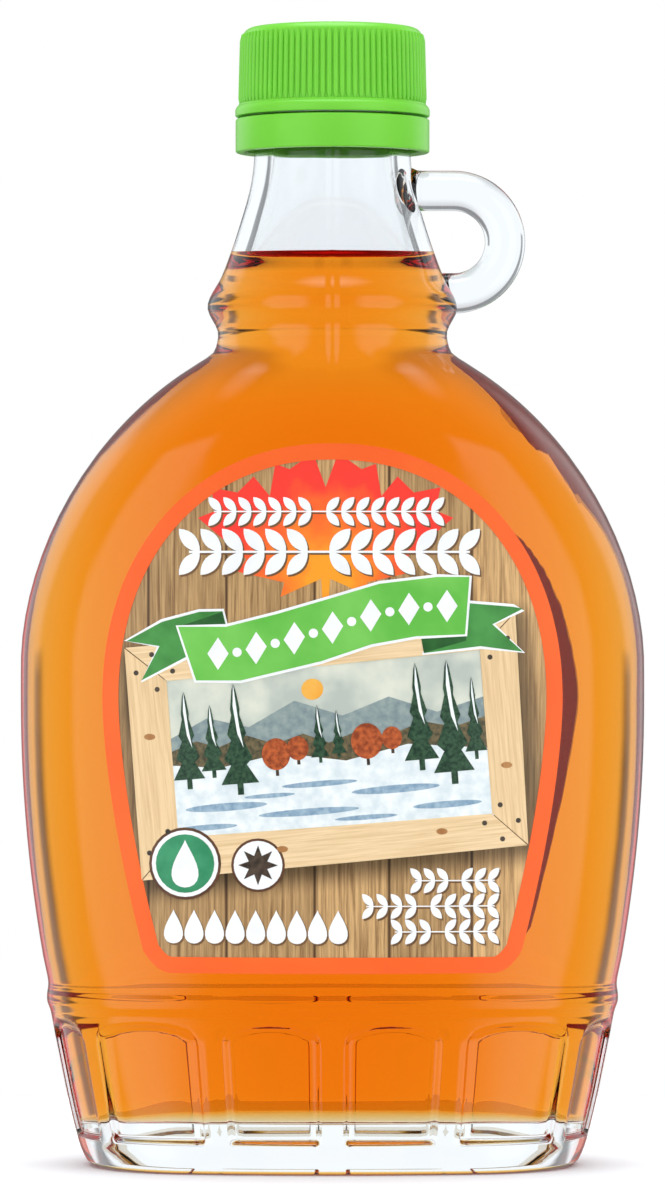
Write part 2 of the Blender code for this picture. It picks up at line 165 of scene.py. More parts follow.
def oval_point(turn, half_width, half_depth, face_radius):
    """Point on a four-arc oval. turn runs from 0, mid front, by way of 1 at the ear's end to 4, mid front."""
    quarter = int(turn) % 4
    share = turn - int(turn)
    if quarter % 2:
        share = 1 - share
    spare = face_radius ** 2 - half_width ** 2 - (face_radius - half_depth) ** 2
    end_radius = spare / (2 * (face_radius - half_width))
    end_centre = half_width - end_radius
    lean = math.asin(end_centre / (face_radius - end_radius))
    face_length = face_radius * lean
    run = share * (face_length + end_radius * (math.pi / 2 - lean))
    if run < face_length:
        angle = run / face_radius
        x = face_radius * math.sin(angle)
        y = face_radius - half_depth - face_radius * math.cos(angle)
    else:
        angle = lean + (run - face_length) / end_radius
        x = end_centre + end_radius * math.sin(angle)
        y = -end_radius * math.cos(angle)
    return (-x if quarter > 1 else x), (-y if quarter in (1, 2) else y)


def flute_inset(turn, height):
    """How far the arched flutes press the base wall in at this place."""
    share = turn % 2
    share = min(share, 2 - share)
    for start, end in FLUTES:
        if not start < share < end:
            continue
        side = min(share - start, end - share) * QUARTER_LENGTH
        part = (share - start) / (end - start)
        top = FLUTE_SPRING + FLUTE_RISE * math.sqrt(1 - (2 * part - 1) ** 2)
        if FLUTE_BOTTOM < height < top:
            return (
                FLUTE_DEPTH * smooth_step(side / FLUTE_SIDE_COVE)
                * smooth_step((top - height) / FLUTE_TOP_COVE)
                * smooth_step((height - FLUTE_BOTTOM) / FLUTE_SIDE_COVE)
            )
    return 0.0


def seam_rise(turn, height, half_width):
    """How far the parting line stands out of the neck at this place."""
    away = min(turn % 2, 2 - turn % 2) * half_width * math.pi / 2
    fade = smooth_step((height - SEAM_BOTTOM) / 8)
    return SEAM_HEIGHT * fade * (1 - smooth_step(away / SEAM_HALF_WIDTH))


def heights_in(runs):
    """Heights from runs of (start, end, number of steps)."""
    return [start + (end - start) * step / steps for start, end, steps in runs for step in range(steps)]


def quarter_columns():
    """Shares from mid front to mid end where columns stand: close together over each cove and the seam."""
    cove = FLUTE_SIDE_COVE / QUARTER_LENGTH
    shares = list(SEAM_SHARES)
    for start, end in FLUTES:
        shares += [start + cove * step / 5 for step in range(6)]
        panel = end - start - 2 * cove
        shares += [start + cove + panel * step / 10 for step in range(1, 10)]
        shares += [end - cove * step / 5 for step in range(5, -1, -1)]
    for (_, end), (start, _) in zip(FLUTES, FLUTES[1:]):
        shares += [end + (start - end) * step / 3 for step in (1, 2)]
    shares += [0.985, 1.0]
    return sorted(shares)


def all_columns():
    quarter = quarter_columns()
    back = quarter[::-1]
    turns = quarter[:-1] + [2 - share for share in back[:-1]]
    return turns + [2 + turn for turn in turns]


def bridge(mesh, lower, upper):
    """Faces from one ring up to the next. The upper one may have half as many points."""
    step = len(lower) // len(upper)
    count = len(upper)
    for index in range(count):
        following = (index + 1) % count
        below = [lower[(index * step + more) % len(lower)] for more in range(step + 1)]
        mesh.faces.new((*below, upper[following], upper[index]))


def skin(mesh, rings):
    for lower, upper in zip(rings, rings[1:]):
        bridge(mesh, lower, upper)


def fan(mesh, ring, height, closes_below):
    """Triangles from a ring to a middle point at this height, under or over it."""
    tip = mesh.verts.new((0, 0, height * MM))
    for first, second in zip(ring, ring[1:] + ring[:1]):
        mesh.faces.new((second, first, tip) if closes_below else (first, second, tip))


def ring_of(mesh, columns, level, inset=0.0, shape=None):
    """One ring of mesh points, on an oval set in from the outside. shape gives how far each stands out."""
    height, half_width, half_depth = level
    ring = []
    for turn in columns:
        out = shape(turn, height, half_width) if shape else 0.0
        x, y = oval_point(turn, half_width + out, half_depth + out, FACE_RADIUS - inset)
        ring.append(mesh.verts.new((x * MM, y * MM, height * MM)))
    return ring


def inside_levels(inset):
    """(height, half width, half depth) of the inside, from near the middle of the floor to the mouth. One of
    them is the line that the syrup reaches, so that the wetted glass ends on it."""
    floor = FLOOR_HEIGHT + inset - WALL
    low_width = HEEL[0] - inset
    low_depth = HEEL[1] - inset
    levels = []
    for share in FLOOR_SHARES:
        height = floor + FLOOR_CROWN * (1 - share ** 2)
        levels.append((height, (low_width - FLOOR_CORNER) * share, (low_depth - FLOOR_CORNER) * share))
    for step in range(9):
        angle = math.pi / 2 * step / 8
        draw_in = FLOOR_CORNER * (1 - math.sin(angle))
        levels.append((
            floor + FLOOR_CORNER * (1 - math.cos(angle)), low_width - draw_in, low_depth - draw_in,
        ))
    wall = line_through([levels[-1], *body_stations(inset)])
    mouth = NECK_WALL[-1][0]
    for height in heights_in((
        (levels[-1][0] + 2, 31, 9), (31, 112, 24), (112, WETTED_TO, 36), (WETTED_TO, mouth, 22),
    )):
        levels.append((height, *wall(height)))
    return levels


def object_of(name, mesh, *finishes):
    """Object of this bmesh, shaded smooth, with its real edges kept sharp."""
    data = bpy.data.meshes.new(name)
    mesh.to_mesh(data)
    mesh.free()
    for finish in finishes:
        data.materials.append(finish)
    data.shade_smooth()
    data.set_sharp_from_angle(angle=SHARP_ANGLE)
    made = bpy.data.objects.new(name, data)
    bpy.context.scene.collection.objects.link(made)
    return made


def made_plain(piece):
    """Gives the piece what its modifiers make of its mesh, as a plain mesh, and removes them."""
    graph = bpy.context.evaluated_depsgraph_get()
    data = bpy.data.meshes.new_from_object(piece.evaluated_get(graph), depsgraph=graph)
    piece.modifiers.clear()
    old = piece.data
    piece.data = data
    data.name = piece.name
    bpy.data.meshes.remove(old)


def linear(code):
    """The sRGB colour of a hex code, as the linear colour that a socket takes."""
    parts = [int(code[place:place + 2], 16) / 255 for place in (1, 3, 5)]
    return (*(c / 12.92 if c <= 0.04045 else ((c + 0.055) / 1.055) ** 2.4 for c in parts), 1.0)


def add(tree, kind, inputs=None, stops=(), **settings):
    """Adds a node. An input that is given a socket, or a node for its first output, is linked to it, and any
    other is set. stops are a colour ramp's (position, hex code), first those of its two ends."""
    made = tree.nodes.new(kind)
    for name, value in settings.items():
        setattr(made, name, value)
    for index, (position, code) in enumerate(stops):
        elements = made.color_ramp.elements
        stop = elements[index] if index < 2 else elements.new(position)
        stop.position = position
        stop.color = linear(code)
    for name, value in (inputs or {}).items():
        if isinstance(value, bpy.types.Node):
            value = value.outputs[0]
        if isinstance(value, bpy.types.NodeSocket):
            tree.links.new(value, made.inputs[name])
        else:
            made.inputs[name].default_value = value
    return made


def finish_of(name, inputs):
    """A new material, its node tree and its shader, with these sockets set."""
    finish = bpy.data.materials.new(name)
    finish.use_nodes = True
    shader = finish.node_tree.nodes["Principled BSDF"]
    for socket, value in inputs.items():
        shader.inputs[socket].default_value = value
    return finish, finish.node_tree, shader


def moulded_glass():
    """Clear soda-lime glass as it leaves the mould: bright and smooth, with a slow ripple that bends what
    is seen through it."""
    finish, tree, shader = finish_of("moulded clear glass", {
        "Base Color": linear("#f8fafb"), "Roughness": 0.0, "IOR": GLASS_IOR, "Transmission Weight": 1.0,
    })
    place = add(tree, "ShaderNodeTexCoord")
    ripple = add(tree, "ShaderNodeTexNoise", {
        "Vector": place.outputs["Object"], "Scale": 1 / (14 * MM), "Detail": 1.0,
    })
    bump = add(tree, "ShaderNodeBump", {
        "Height": ripple, "Strength": 0.12, "Distance": 0.6 * MM,
    })
    tree.links.new(bump.outputs["Normal"], shader.inputs["Normal"])
    return finish


def wetted_glass():
    """The inside of the same glass below the syrup's level. Syrup bends light almost as glass does, so the
    line between them hardly shows, and this side alone bends nothing."""
    return finish_of("syrup-wetted glass", {
        "Base Color": linear("#ffffff"), "Roughness": 0.0, "IOR": 1.0, "Transmission Weight": 1.0,
    })[0]


def outside_shape(turn, height, half_width):
    return seam_rise(turn, height, half_width) - flute_inset(turn, height)


outside_wall = line_through([*BASE_WALL, *body_stations(0.0)])
columns = all_columns()
shell = bmesh.new()
rings = []
for share in PUSH_UP_SHARES:
    rise = PUSH_UP_HEIGHT * (1 - share ** PUSH_UP_POWER)
    level = (rise, FOOT_INNER[0] * share, FOOT_INNER[1] * share)
    rings.append(ring_of(shell, columns, level))
for height in heights_in(OUTSIDE_RUNS):
    rings.append(ring_of(shell, columns, (height, *outside_wall(height)), shape=outside_shape))
mouth, lip_radius = NECK_WALL[-1]
bore_radius = lip_radius - WALL
for step in range(LIP_STEPS + 1):
    angle = math.pi / 2 * step / LIP_STEPS
    radius = lip_radius - LIP_ROUNDING * (1 - math.cos(angle))
    rings.append(ring_of(shell, columns, (mouth + LIP_ROUNDING * math.sin(angle), radius, radius)))
skin(shell, rings)
fan(shell, rings[0], PUSH_UP_HEIGHT, True)
outside_faces = len(shell.faces)
rings = rings[-1:]
inside_columns = columns[::2]
for step in range(LIP_STEPS + 1):
    angle = math.pi / 2 * step / LIP_STEPS
    radius = bore_radius + LIP_ROUNDING * (1 - math.sin(angle))
    level = (mouth + LIP_ROUNDING * math.cos(angle), radius, radius)
    rings.append(ring_of(shell, inside_columns, level, WALL))
for level in reversed(inside_levels(WALL)):
    rings.append(ring_of(shell, inside_columns, level, WALL))
skin(shell, rings)
fan(shell, rings[-1], FLOOR_HEIGHT + FLOOR_CROWN, False)
shell.faces.ensure_lookup_table()
for face in shell.faces[outside_faces:]:
    if face.calc_center_median().z < WETTED_TO * MM:
        face.material_index = 1
glass = moulded_glass()
bottle = object_of("glass_bottle", shell, glass, wetted_glass())

EAR_CENTRE = (19.9, 151.2)   # across and up, of the half round that the bar bends through
EAR_BEND_RADIUS = 8.4
EAR_BAR_RADIUS = 3.3
EAR_FLARE = 0.7
EAR_FLARE_LENGTH = 2.4
EAR_TOP_ROOT = 12.4
EAR_LOW_ROOT = 18.0
EAR_SIDES = 36
EAR_STRAIGHT_STEPS = 10
EAR_BEND_STEPS = 40

path = []                    # (across, height, way the bar's outer side faces, distance from its root)
straight = EAR_CENTRE[0] - EAR_TOP_ROOT
for step in range(EAR_STRAIGHT_STEPS):
    run = straight * step / EAR_STRAIGHT_STEPS
    path.append((EAR_TOP_ROOT + run, EAR_CENTRE[1] + EAR_BEND_RADIUS, math.pi / 2, run))
for step in range(EAR_BEND_STEPS + 1):
    angle = math.pi / 2 - math.pi * step / EAR_BEND_STEPS
    x = EAR_CENTRE[0] + EAR_BEND_RADIUS * math.cos(angle)
    path.append((x, EAR_CENTRE[1] + EAR_BEND_RADIUS * math.sin(angle), angle, straight + step))
path.append((EAR_LOW_ROOT, EAR_CENTRE[1] - EAR_BEND_RADIUS, -math.pi / 2, straight + EAR_BEND_STEPS + 1))
bar = bmesh.new()
bar_rings = []
for x, height, angle, run in path:
    radius = EAR_BAR_RADIUS + EAR_FLARE * (1 - smooth_step(run / EAR_FLARE_LENGTH)) ** 2
    ring = []
    for side in range(EAR_SIDES):
        turn = 2 * math.pi * side / EAR_SIDES
        out = radius * math.cos(turn)
        ring.append(bar.verts.new((
            (x + out * math.cos(angle)) * MM, radius * math.sin(turn) * MM,
            (height + out * math.sin(angle)) * MM,
        )))
    bar_rings.append(ring)
skin(bar, bar_rings)
bar.faces.new(bar_rings[0])
bar.faces.new(bar_rings[-1])
bmesh.ops.recalc_face_normals(bar, faces=bar.faces[:])
ear = object_of("ear_bar", bar, glass)
join = bottle.modifiers.new("ear", "BOOLEAN")
join.operation = "UNION"
join.solver = "EXACT"
join.object = ear
made_plain(bottle)
bpy.data.objects.remove(ear)
bottle.data.set_sharp_from_angle(angle=SHARP_ANGLE)
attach(bottle, "root")
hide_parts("bottle")

# Syrup
# Amber maple syrup, clear, filled hot up to its level in the neck. It wets the glass, so it reaches a hair
# into the wall, and its top creeps up the glass at the rim.
FILL_HEIGHT = 146.9          # its flat middle
SINK = 0.25                  # how far it reaches into the wall, so that no air shows between them
CREEP = WETTED_TO - FILL_HEIGHT
CREEP_FADE = 1.4             # how soon the rise at the rim dies away towards the middle
CREEP_STEPS = (0.35, 0.7, 1.1, 1.6, 2.3, 3.2, 4.5, 7.0, 11.0)    # rings of the top, in from the rim
SYRUP_IOR = 1.46
SYRUP_COLOUR = (0.989, 0.716, 0.014, 1.0)
SYRUP_DENSITY = 142.0


def clear_amber():
    """Maple syrup: as clear as glass, and its sugar colour only builds up with the depth looked through.
    Absorption for each metre is (1 - colour) x density. Its free top bends light as syrup in air does, and
    the rest only as much less as syrup does than glass."""
    finish, tree, shader = finish_of("amber maple syrup", {
        "Base Color": linear("#ffffff"), "Roughness": 0.0, "IOR": SYRUP_IOR, "Transmission Weight": 1.0,
    })
    free = add(tree, "ShaderNodeAttribute", attribute_name="free surface")
    bend = add(tree, "ShaderNodeMapRange", {
        "Value": free.outputs["Fac"], "To Min": SYRUP_IOR / GLASS_IOR, "To Max": SYRUP_IOR,
    })
    tree.links.new(bend.outputs["Result"], shader.inputs["IOR"])
    depth = add(tree, "ShaderNodeVolumeAbsorption", {"Color": SYRUP_COLOUR, "Density": SYRUP_DENSITY})
    tree.links.new(depth.outputs["Volume"], tree.nodes["Material Output"].inputs["Volume"])
    return finish


filling = bmesh.new()
inset = WALL - SINK
rim_height = FILL_HEIGHT + CREEP
wall_levels = [level for level in inside_levels(inset) if level[0] < rim_height - 0.3]
rim_radius = line_through(body_stations(inset))(rim_height)[0]
wall_levels.append((rim_height, rim_radius, rim_radius))
rings = [ring_of(filling, inside_columns, level, inset) for level in wall_levels]
free_surface = filling.faces.layers.float.new("free surface")
skin(filling, rings)
fan(filling, rings[0], FLOOR_HEIGHT + FLOOR_CROWN - SINK, True)
wetting_faces = len(filling.faces)
rings = rings[-1:]
for away in CREEP_STEPS:
    radius = rim_radius - away
    height = FILL_HEIGHT + CREEP * math.exp(-max(away - SINK, 0.0) / CREEP_FADE)
    rings.append(ring_of(filling, inside_columns, (height, radius, radius), inset))
skin(filling, rings)
fan(filling, rings[-1], FILL_HEIGHT, False)
filling.faces.ensure_lookup_table()
for face in filling.faces[wetting_faces:]:
    face[free_surface] = 1.0
syrup = object_of("maple_syrup", filling, clear_amber())
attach(syrup, "root")
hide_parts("syrup")

# Screw cap
# Injection-moulded green polypropylene, screwed down on the neck: a smooth top and lip, and ninety fine ribs
# up the side to grip. The ribs are moulded in one with the cap.
CAP_TOP = 186.2
CAP_BOTTOM = 171.7
CAP_RADIUS = 15.05
CAP_TAPER = 0.3              # how much narrower the side is at its top
CAP_LIP_RADIUS = 15.95
CAP_LIP_EDGE = 0.25
CAP_INNER_RADIUS = 13.6
CAP_CEILING = 184.4
CAP_EDGE = 1.6
RIB_COUNT = 90
RIB_BOTTOM = 173.6
RIB_TOP = 185.1
RIB_RADIUS = 0.45
ROUND_COLUMNS = 180


def turned(profile, closed):
    """bmesh turned from a profile of (radius, height). An open one runs from the axis back to the axis."""
    mesh = bmesh.new()
    turns = [2 * math.pi * column / ROUND_COLUMNS for column in range(ROUND_COLUMNS)]
    loops = [
        [
            mesh.verts.new((radius * MM * math.cos(turn), radius * MM * math.sin(turn), height * MM))
            for turn in turns
        ]
        for radius, height in (profile if closed else profile[1:-1])
    ]
    skin(mesh, loops + loops[:1] if closed else loops)
    if not closed:
        fan(mesh, loops[0], profile[0][1], True)
        fan(mesh, loops[-1], profile[-1][1], False)
    bmesh.ops.recalc_face_normals(mesh, faces=mesh.faces[:])
    return mesh


def rounded(corner, radius, start_degrees, steps=5):
    """Points of a quarter round, which turns left from the way that start_degrees faces."""
    x, height = corner
    angles = [math.radians(start_degrees + 90 * step / steps) for step in range(steps + 1)]
    return [(x + radius * math.cos(angle), height + radius * math.sin(angle)) for angle in angles]


def rib_tree():
    """Geometry Nodes: upright round-ended ribs, evenly round the side of the cap."""
    tree = bpy.data.node_groups.new("ribs round a cap", "GeometryNodeTree")
    tree.interface.new_socket("Cap", in_out="INPUT", socket_type="NodeSocketGeometry")
    tree.interface.new_socket("Ribs", in_out="INPUT", socket_type="NodeSocketInt")
    for size in ("Ring Radius", "Rib Radius", "Bottom", "Top", "Lean"):
        tree.interface.new_socket(size, in_out="INPUT", socket_type="NodeSocketFloat")
    tree.interface.new_socket("Plastic", in_out="INPUT", socket_type="NodeSocketMaterial")
    tree.interface.new_socket("Ribbed Cap", in_out="OUTPUT", socket_type="NodeSocketGeometry")
    given = add(tree, "NodeGroupInput").outputs
    start = add(tree, "ShaderNodeCombineXYZ", {"Z": given["Bottom"]})
    lean = add(tree, "ShaderNodeMath", {0: 0.0, 1: given["Lean"]}, operation="SUBTRACT")
    end = add(tree, "ShaderNodeCombineXYZ", {"X": lean, "Z": given["Top"]})
    spine = add(tree, "GeometryNodeCurvePrimitiveLine", {
        "Start": start, "End": end,
    })
    points = add(tree, "GeometryNodeResampleCurve", {"Curve": spine, "Count": 12})
    # the ends of a rib run down to a point over the last twelfth of its length
    along = add(tree, "GeometryNodeSplineParameter")
    centred = add(tree, "ShaderNodeMath", {0: along.outputs["Factor"], 1: 0.5}, operation="SUBTRACT")
    away = add(tree, "ShaderNodeMath", {0: centred}, operation="ABSOLUTE")
    taper = add(tree, "ShaderNodeMapRange", {
        "Value": away, "From Min": 0.41, "From Max": 0.5, "To Min": 1.0, "To Max": 0.45,
    }, interpolation_type="SMOOTHSTEP")
    shaped = add(tree, "GeometryNodeSetCurveRadius", {
        "Curve": points, "Radius": taper,
    })
    section = add(tree, "GeometryNodeCurvePrimitiveCircle", {"Resolution": 10, "Radius": given["Rib Radius"]})
    rib = add(tree, "GeometryNodeCurveToMesh", {
        "Curve": shaped, "Profile Curve": section, "Fill Caps": True,
        "Scale": taper,
    })
    places = add(tree, "GeometryNodeMeshCircle", {"Vertices": given["Ribs"], "Radius": given["Ring Radius"]})
    outward = add(tree, "GeometryNodeInputPosition")
    turn = add(tree, "FunctionNodeAlignRotationToVector", {"Vector": outward}, axis="X")
    stood = add(tree, "GeometryNodeInstanceOnPoints", {
        "Points": places, "Instance": rib,
        "Rotation": turn,
    })
    real = add(tree, "GeometryNodeRealizeInstances", {"Geometry": stood})
    smooth = add(tree, "GeometryNodeSetShadeSmooth", {"Geometry": real})
    both = add(tree, "GeometryNodeJoinGeometry")
    tree.links.new(given["Cap"], both.inputs["Geometry"])
    tree.links.new(smooth.outputs["Geometry"], both.inputs["Geometry"])
    dressed = add(tree, "GeometryNodeSetMaterial", {
        "Geometry": both, "Material": given["Plastic"],
    })
    add(tree, "NodeGroupOutput", {"Ribbed Cap": dressed})
    return tree


def grow(piece, tree, **sizes):
    """Runs a tree on the piece with these inputs, and gives the piece the plain mesh that comes out."""
    modifier = piece.modifiers.new(tree.name, "NODES")
    modifier.node_group = tree
    wanted = {name.replace("_", " ").title(): value for name, value in sizes.items()}
    for socket in tree.interface.items_tree:
        if socket.in_out == "INPUT" and socket.name in wanted:
            modifier[socket.identifier] = wanted.pop(socket.name)
    assert not wanted, wanted
    made_plain(piece)


def moulded_green():
    """Coloured polypropylene: a soft sheen, with a faint grain and slow shade changes from the flow."""
    finish, tree, shader = finish_of("moulded green polypropylene", {
        "Roughness": 0.32, "IOR": 1.49, "Subsurface Weight": 0.12, "Subsurface Scale": 1.2 * MM,
        "Subsurface Radius": (0.4, 1.0, 0.3),
    })
    place = add(tree, "ShaderNodeTexCoord")
    flow = add(tree, "ShaderNodeTexNoise", {"Vector": place.outputs["Object"], "Scale": 1 / (9 * MM)})
    shade = add(tree, "ShaderNodeMix", {
        0: flow, 6: linear("#72ce33"), 7: linear("#7cd83c"),
    }, data_type="RGBA")
    tree.links.new(shade.outputs[2], shader.inputs["Base Color"])
    grain = add(tree, "ShaderNodeTexNoise", {"Vector": place.outputs["Object"], "Scale": 1 / (0.35 * MM)})
    bump = add(tree, "ShaderNodeBump", {
        "Height": grain, "Strength": 0.12, "Distance": 0.05 * MM,
    })
    tree.links.new(bump.outputs["Normal"], shader.inputs["Normal"])
    return finish


green = moulded_green()
cap_profile = [
    (0, CAP_CEILING),
    (CAP_INNER_RADIUS, CAP_CEILING),
    (CAP_INNER_RADIUS, CAP_BOTTOM),
    *rounded((CAP_LIP_RADIUS - CAP_LIP_EDGE, CAP_BOTTOM + CAP_LIP_EDGE), CAP_LIP_EDGE, -90),
    (CAP_LIP_RADIUS, CAP_BOTTOM + 1.0),
    (CAP_LIP_RADIUS - 0.08, CAP_BOTTOM + 1.3),
    (CAP_LIP_RADIUS - 0.3, CAP_BOTTOM + 1.65),
    (CAP_RADIUS + 0.42, RIB_BOTTOM - 0.15),
    (CAP_RADIUS + 0.34, RIB_BOTTOM + 0.1),
    (CAP_RADIUS, RIB_BOTTOM + 0.3),
    *rounded((CAP_RADIUS - CAP_TAPER - CAP_EDGE, CAP_TOP - CAP_EDGE), CAP_EDGE, 0, 8),
    (0, CAP_TOP),
]
cap = object_of("screw_cap", turned(cap_profile, False), green)
grow(
    cap, rib_tree(), ribs=RIB_COUNT, ring_radius=CAP_RADIUS * MM, rib_radius=RIB_RADIUS * MM,
    bottom=RIB_BOTTOM * MM, top=RIB_TOP * MM, lean=CAP_TAPER * MM, plastic=green,
)
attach(cap, "root")
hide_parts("cap")

# Tamper ring
# The plain band under the cap, of the same green polypropylene. Thin bridges hold it to the cap until the
# first opening; it stays on the neck.
RING_TOP = 171.3
RING_BOTTOM = 165.8
RING_RADIUS = 15.9
RING_INNER_RADIUS = 14.3
RING_EDGE = 0.35

ring_profile = [
    (RING_INNER_RADIUS, RING_TOP),
    (RING_INNER_RADIUS, RING_BOTTOM + RING_EDGE),
    (RING_INNER_RADIUS + RING_EDGE, RING_BOTTOM),
    *rounded((RING_RADIUS - RING_EDGE, RING_BOTTOM + RING_EDGE), RING_EDGE, -90),
    *rounded((RING_RADIUS - RING_EDGE, RING_TOP - RING_EDGE), RING_EDGE, 0),
]
tamper_ring = object_of("tamper_band", turned(ring_profile, True), green)
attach(tamper_ring, "root")
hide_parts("tamper_ring")

# Front label
# Coated paper, glued round the front: a domed sheet with an orange border. What is printed on it follows in
# the next sections, each ink field laid a hair over the one before.
LABEL_HALF_WIDTH = 37.0
LABEL_WIDEST_HEIGHT = 76.4
LABEL_TOP = 117.6
LABEL_BOTTOM = 32.6
LABEL_FOOT_HALF_WIDTH = 29.4
LABEL_CORNER = 3.8
LABEL_CORNER_POWER = 2.2
LABEL_DOME_POWER = 2.15
LABEL_SKIRT_POWER = 1.6
PAPER_TOP = 0.14             # how far the printed side stands out of the glass
PAPER_SINK = 0.06            # how far the glued side lies in it, so that no air shows between them
LAYER = 0.02                 # how far each ink field stands over the one before
BEND_STEP = 1.5              # widest flat strip of anything that is bent round the face


def skirt_height(x):
    """Height of the label's tapering side edge, a distance from its middle."""
    reach = max(0.0, LABEL_HALF_WIDTH - x) / (LABEL_HALF_WIDTH - LABEL_FOOT_HALF_WIDTH)
    return LABEL_WIDEST_HEIGHT - (LABEL_WIDEST_HEIGHT - LABEL_BOTTOM) * reach ** (1 / LABEL_SKIRT_POWER)


def label_outline(steps=72):
    """Outline of the label as (across, height), from its lower left corner round to the left again."""
    corner_start = LABEL_FOOT_HALF_WIDTH - LABEL_CORNER
    corner_end = LABEL_FOOT_HALF_WIDTH + LABEL_CORNER / 4
    corner_rise = skirt_height(corner_end) - LABEL_BOTTOM
    right = []
    for step in range(9):
        part = step / 8
        right.append((
            corner_start + (corner_end - corner_start) * part,
            LABEL_BOTTOM + corner_rise * part ** LABEL_CORNER_POWER,
        ))
    for step in range(1, steps // 3):
        x = LABEL_HALF_WIDTH - (LABEL_HALF_WIDTH - corner_end) * (1 - step / (steps // 3)) ** 1.5
        right.append((x, skirt_height(x)))
    for step in range(steps):
        angle = math.pi / 2 * step / steps
        across = LABEL_HALF_WIDTH * math.cos(angle) ** (2 / LABEL_DOME_POWER)
        rise = (LABEL_TOP - LABEL_WIDEST_HEIGHT) * math.sin(angle) ** (2 / LABEL_DOME_POWER)
        right.append((across, LABEL_WIDEST_HEIGHT + rise))
    return right + [(0.0, LABEL_TOP)] + [(-x, height) for x, height in reversed(right)]


def drawn_in(outline, distance):
    """The outline moved inwards, which is to its left."""
    moved = []
    count = len(outline)
    for index, (x, height) in enumerate(outline):
        before = outline[index - 1]
        after = outline[(index + 1) % count]
        along = (after[0] - before[0], after[1] - before[1])
        length = math.hypot(*along)
        moved.append((x - along[1] / length * distance, height + along[0] / length * distance))
    return moved


def bent(mesh, face=-1, shift=0.0, scale=(1.0, 1.0)):
    """Bends flat work round a face of the body. Its points are (across, lift off the glass, height)."""
    lowest = min(vertex.co.x for vertex in mesh.verts)
    highest = max(vertex.co.x for vertex in mesh.verts)
    cut = math.ceil(lowest / BEND_STEP) * BEND_STEP
    while cut < highest:
        everything = mesh.verts[:] + mesh.edges[:] + mesh.faces[:]
        bmesh.ops.bisect_plane(mesh, geom=everything, dist=0.002, plane_co=(cut, 0, 0), plane_no=(1, 0, 0))
        cut += BEND_STEP
    middle = (LABEL_TOP + LABEL_BOTTOM) / 2
    for vertex in mesh.verts:
        x, lift, height = vertex.co
        radius = FACE_RADIUS + lift
        across = (x * scale[0] + shift) * radius / FACE_RADIUS
        out = HALF_DEPTH - FACE_RADIUS + math.sqrt(radius ** 2 - across ** 2)
        vertex.co = (across * MM, face * out * MM, (middle + (height - middle) * scale[1]) * MM)
    if face < 0:
        bmesh.ops.reverse_faces(mesh, faces=mesh.faces[:])      # the front mirrors the flat work


def sheet_of(outlines, bottom, top, joined=False):
    """Flat bmesh of closed plates with these outlines, between two lifts off the glass. Joined ones share
    the edges where they meet, with no wall between them."""
    mesh = bmesh.new()
    flat = mesh.loops.layers.uv.new("print")
    for outline in outlines:
        mesh.faces.new([mesh.verts.new((x, bottom, height)) for x, height in outline])
    if joined:
        bmesh.ops.remove_doubles(mesh, verts=mesh.verts[:], dist=0.002)
    raised = bmesh.ops.extrude_face_region(mesh, geom=mesh.faces[:])["geom"]
    for item in raised:
        if isinstance(item, bmesh.types.BMVert):
            item.co.y = top
    for face in mesh.faces:
        for loop in face.loops:
            loop[flat].uv = (loop.vert.co.x / 100, loop.vert.co.z / 100)
    bmesh.ops.triangulate(mesh, faces=[face for face in mesh.faces if len(face.verts) > 4])
    bmesh.ops.recalc_face_normals(mesh, faces=mesh.faces[:])
    return mesh


def bare_paper():
    """Uncoated side and cut edge of label paper: matt and off white, with a fine fibre."""
    finish, tree, shader = finish_of("bare label paper", {"Roughness": 0.8})
    place = add(tree, "ShaderNodeTexCoord")
    fibre = add(tree, "ShaderNodeTexNoise", {"Vector": place.outputs["Object"], "Scale": 1 / (0.6 * MM)})
    shades = add(tree, "ShaderNodeValToRGB", {"Fac": fibre}, (
        (0.0, "#d9d4cc"), (1.0, "#efece6"),
    ))
    tree.links.new(shades.outputs["Color"], shader.inputs["Base Color"])
    return finish


def ink(name, dark, light, patch=3.0, roughness=0.28):
    """A field of offset ink on coated paper: two close shades in soft patches, patch millimetres across."""
    finish, tree, shader = finish_of(name, {"Roughness": roughness})
    place = add(tree, "ShaderNodeTexCoord")
    mottle = add(tree, "ShaderNodeTexNoise", {
        "Vector": place.outputs["Object"], "Scale": 1 / (patch * MM), "Detail": 3.0,
    })
    shades = add(tree, "ShaderNodeValToRGB", {"Fac": mottle}, ((0.35, dark), (0.65, light)))
    tree.links.new(shades.outputs["Color"], shader.inputs["Base Color"])
    return finish


def label_paper(name, *bend):
    """The sheet of a label, bent as said: the border's ink on its face, bare paper on its back and edge."""
    sheet = sheet_of([label_outline()], -PAPER_SINK, PAPER_TOP)
    for side in sheet.faces:
        side.material_index = 0 if all(vertex.co.y > 0 for vertex in side.verts) else 1
    bent(sheet, *bend)
    return object_of(name, sheet, border_ink, paper)


paper = bare_paper()
border_ink = ink("orange border ink", "#f95e18", "#f9661d", patch=20.0)
front_label = label_paper("front_label_paper")
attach(front_label, "root")
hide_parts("front_label")

# Printed boards
# The ground inside the border: upright pine boards with dark joints between them. It is offset ink on the
# label's coated paper, like all the print, and is printed first.
BORDER = 2.6


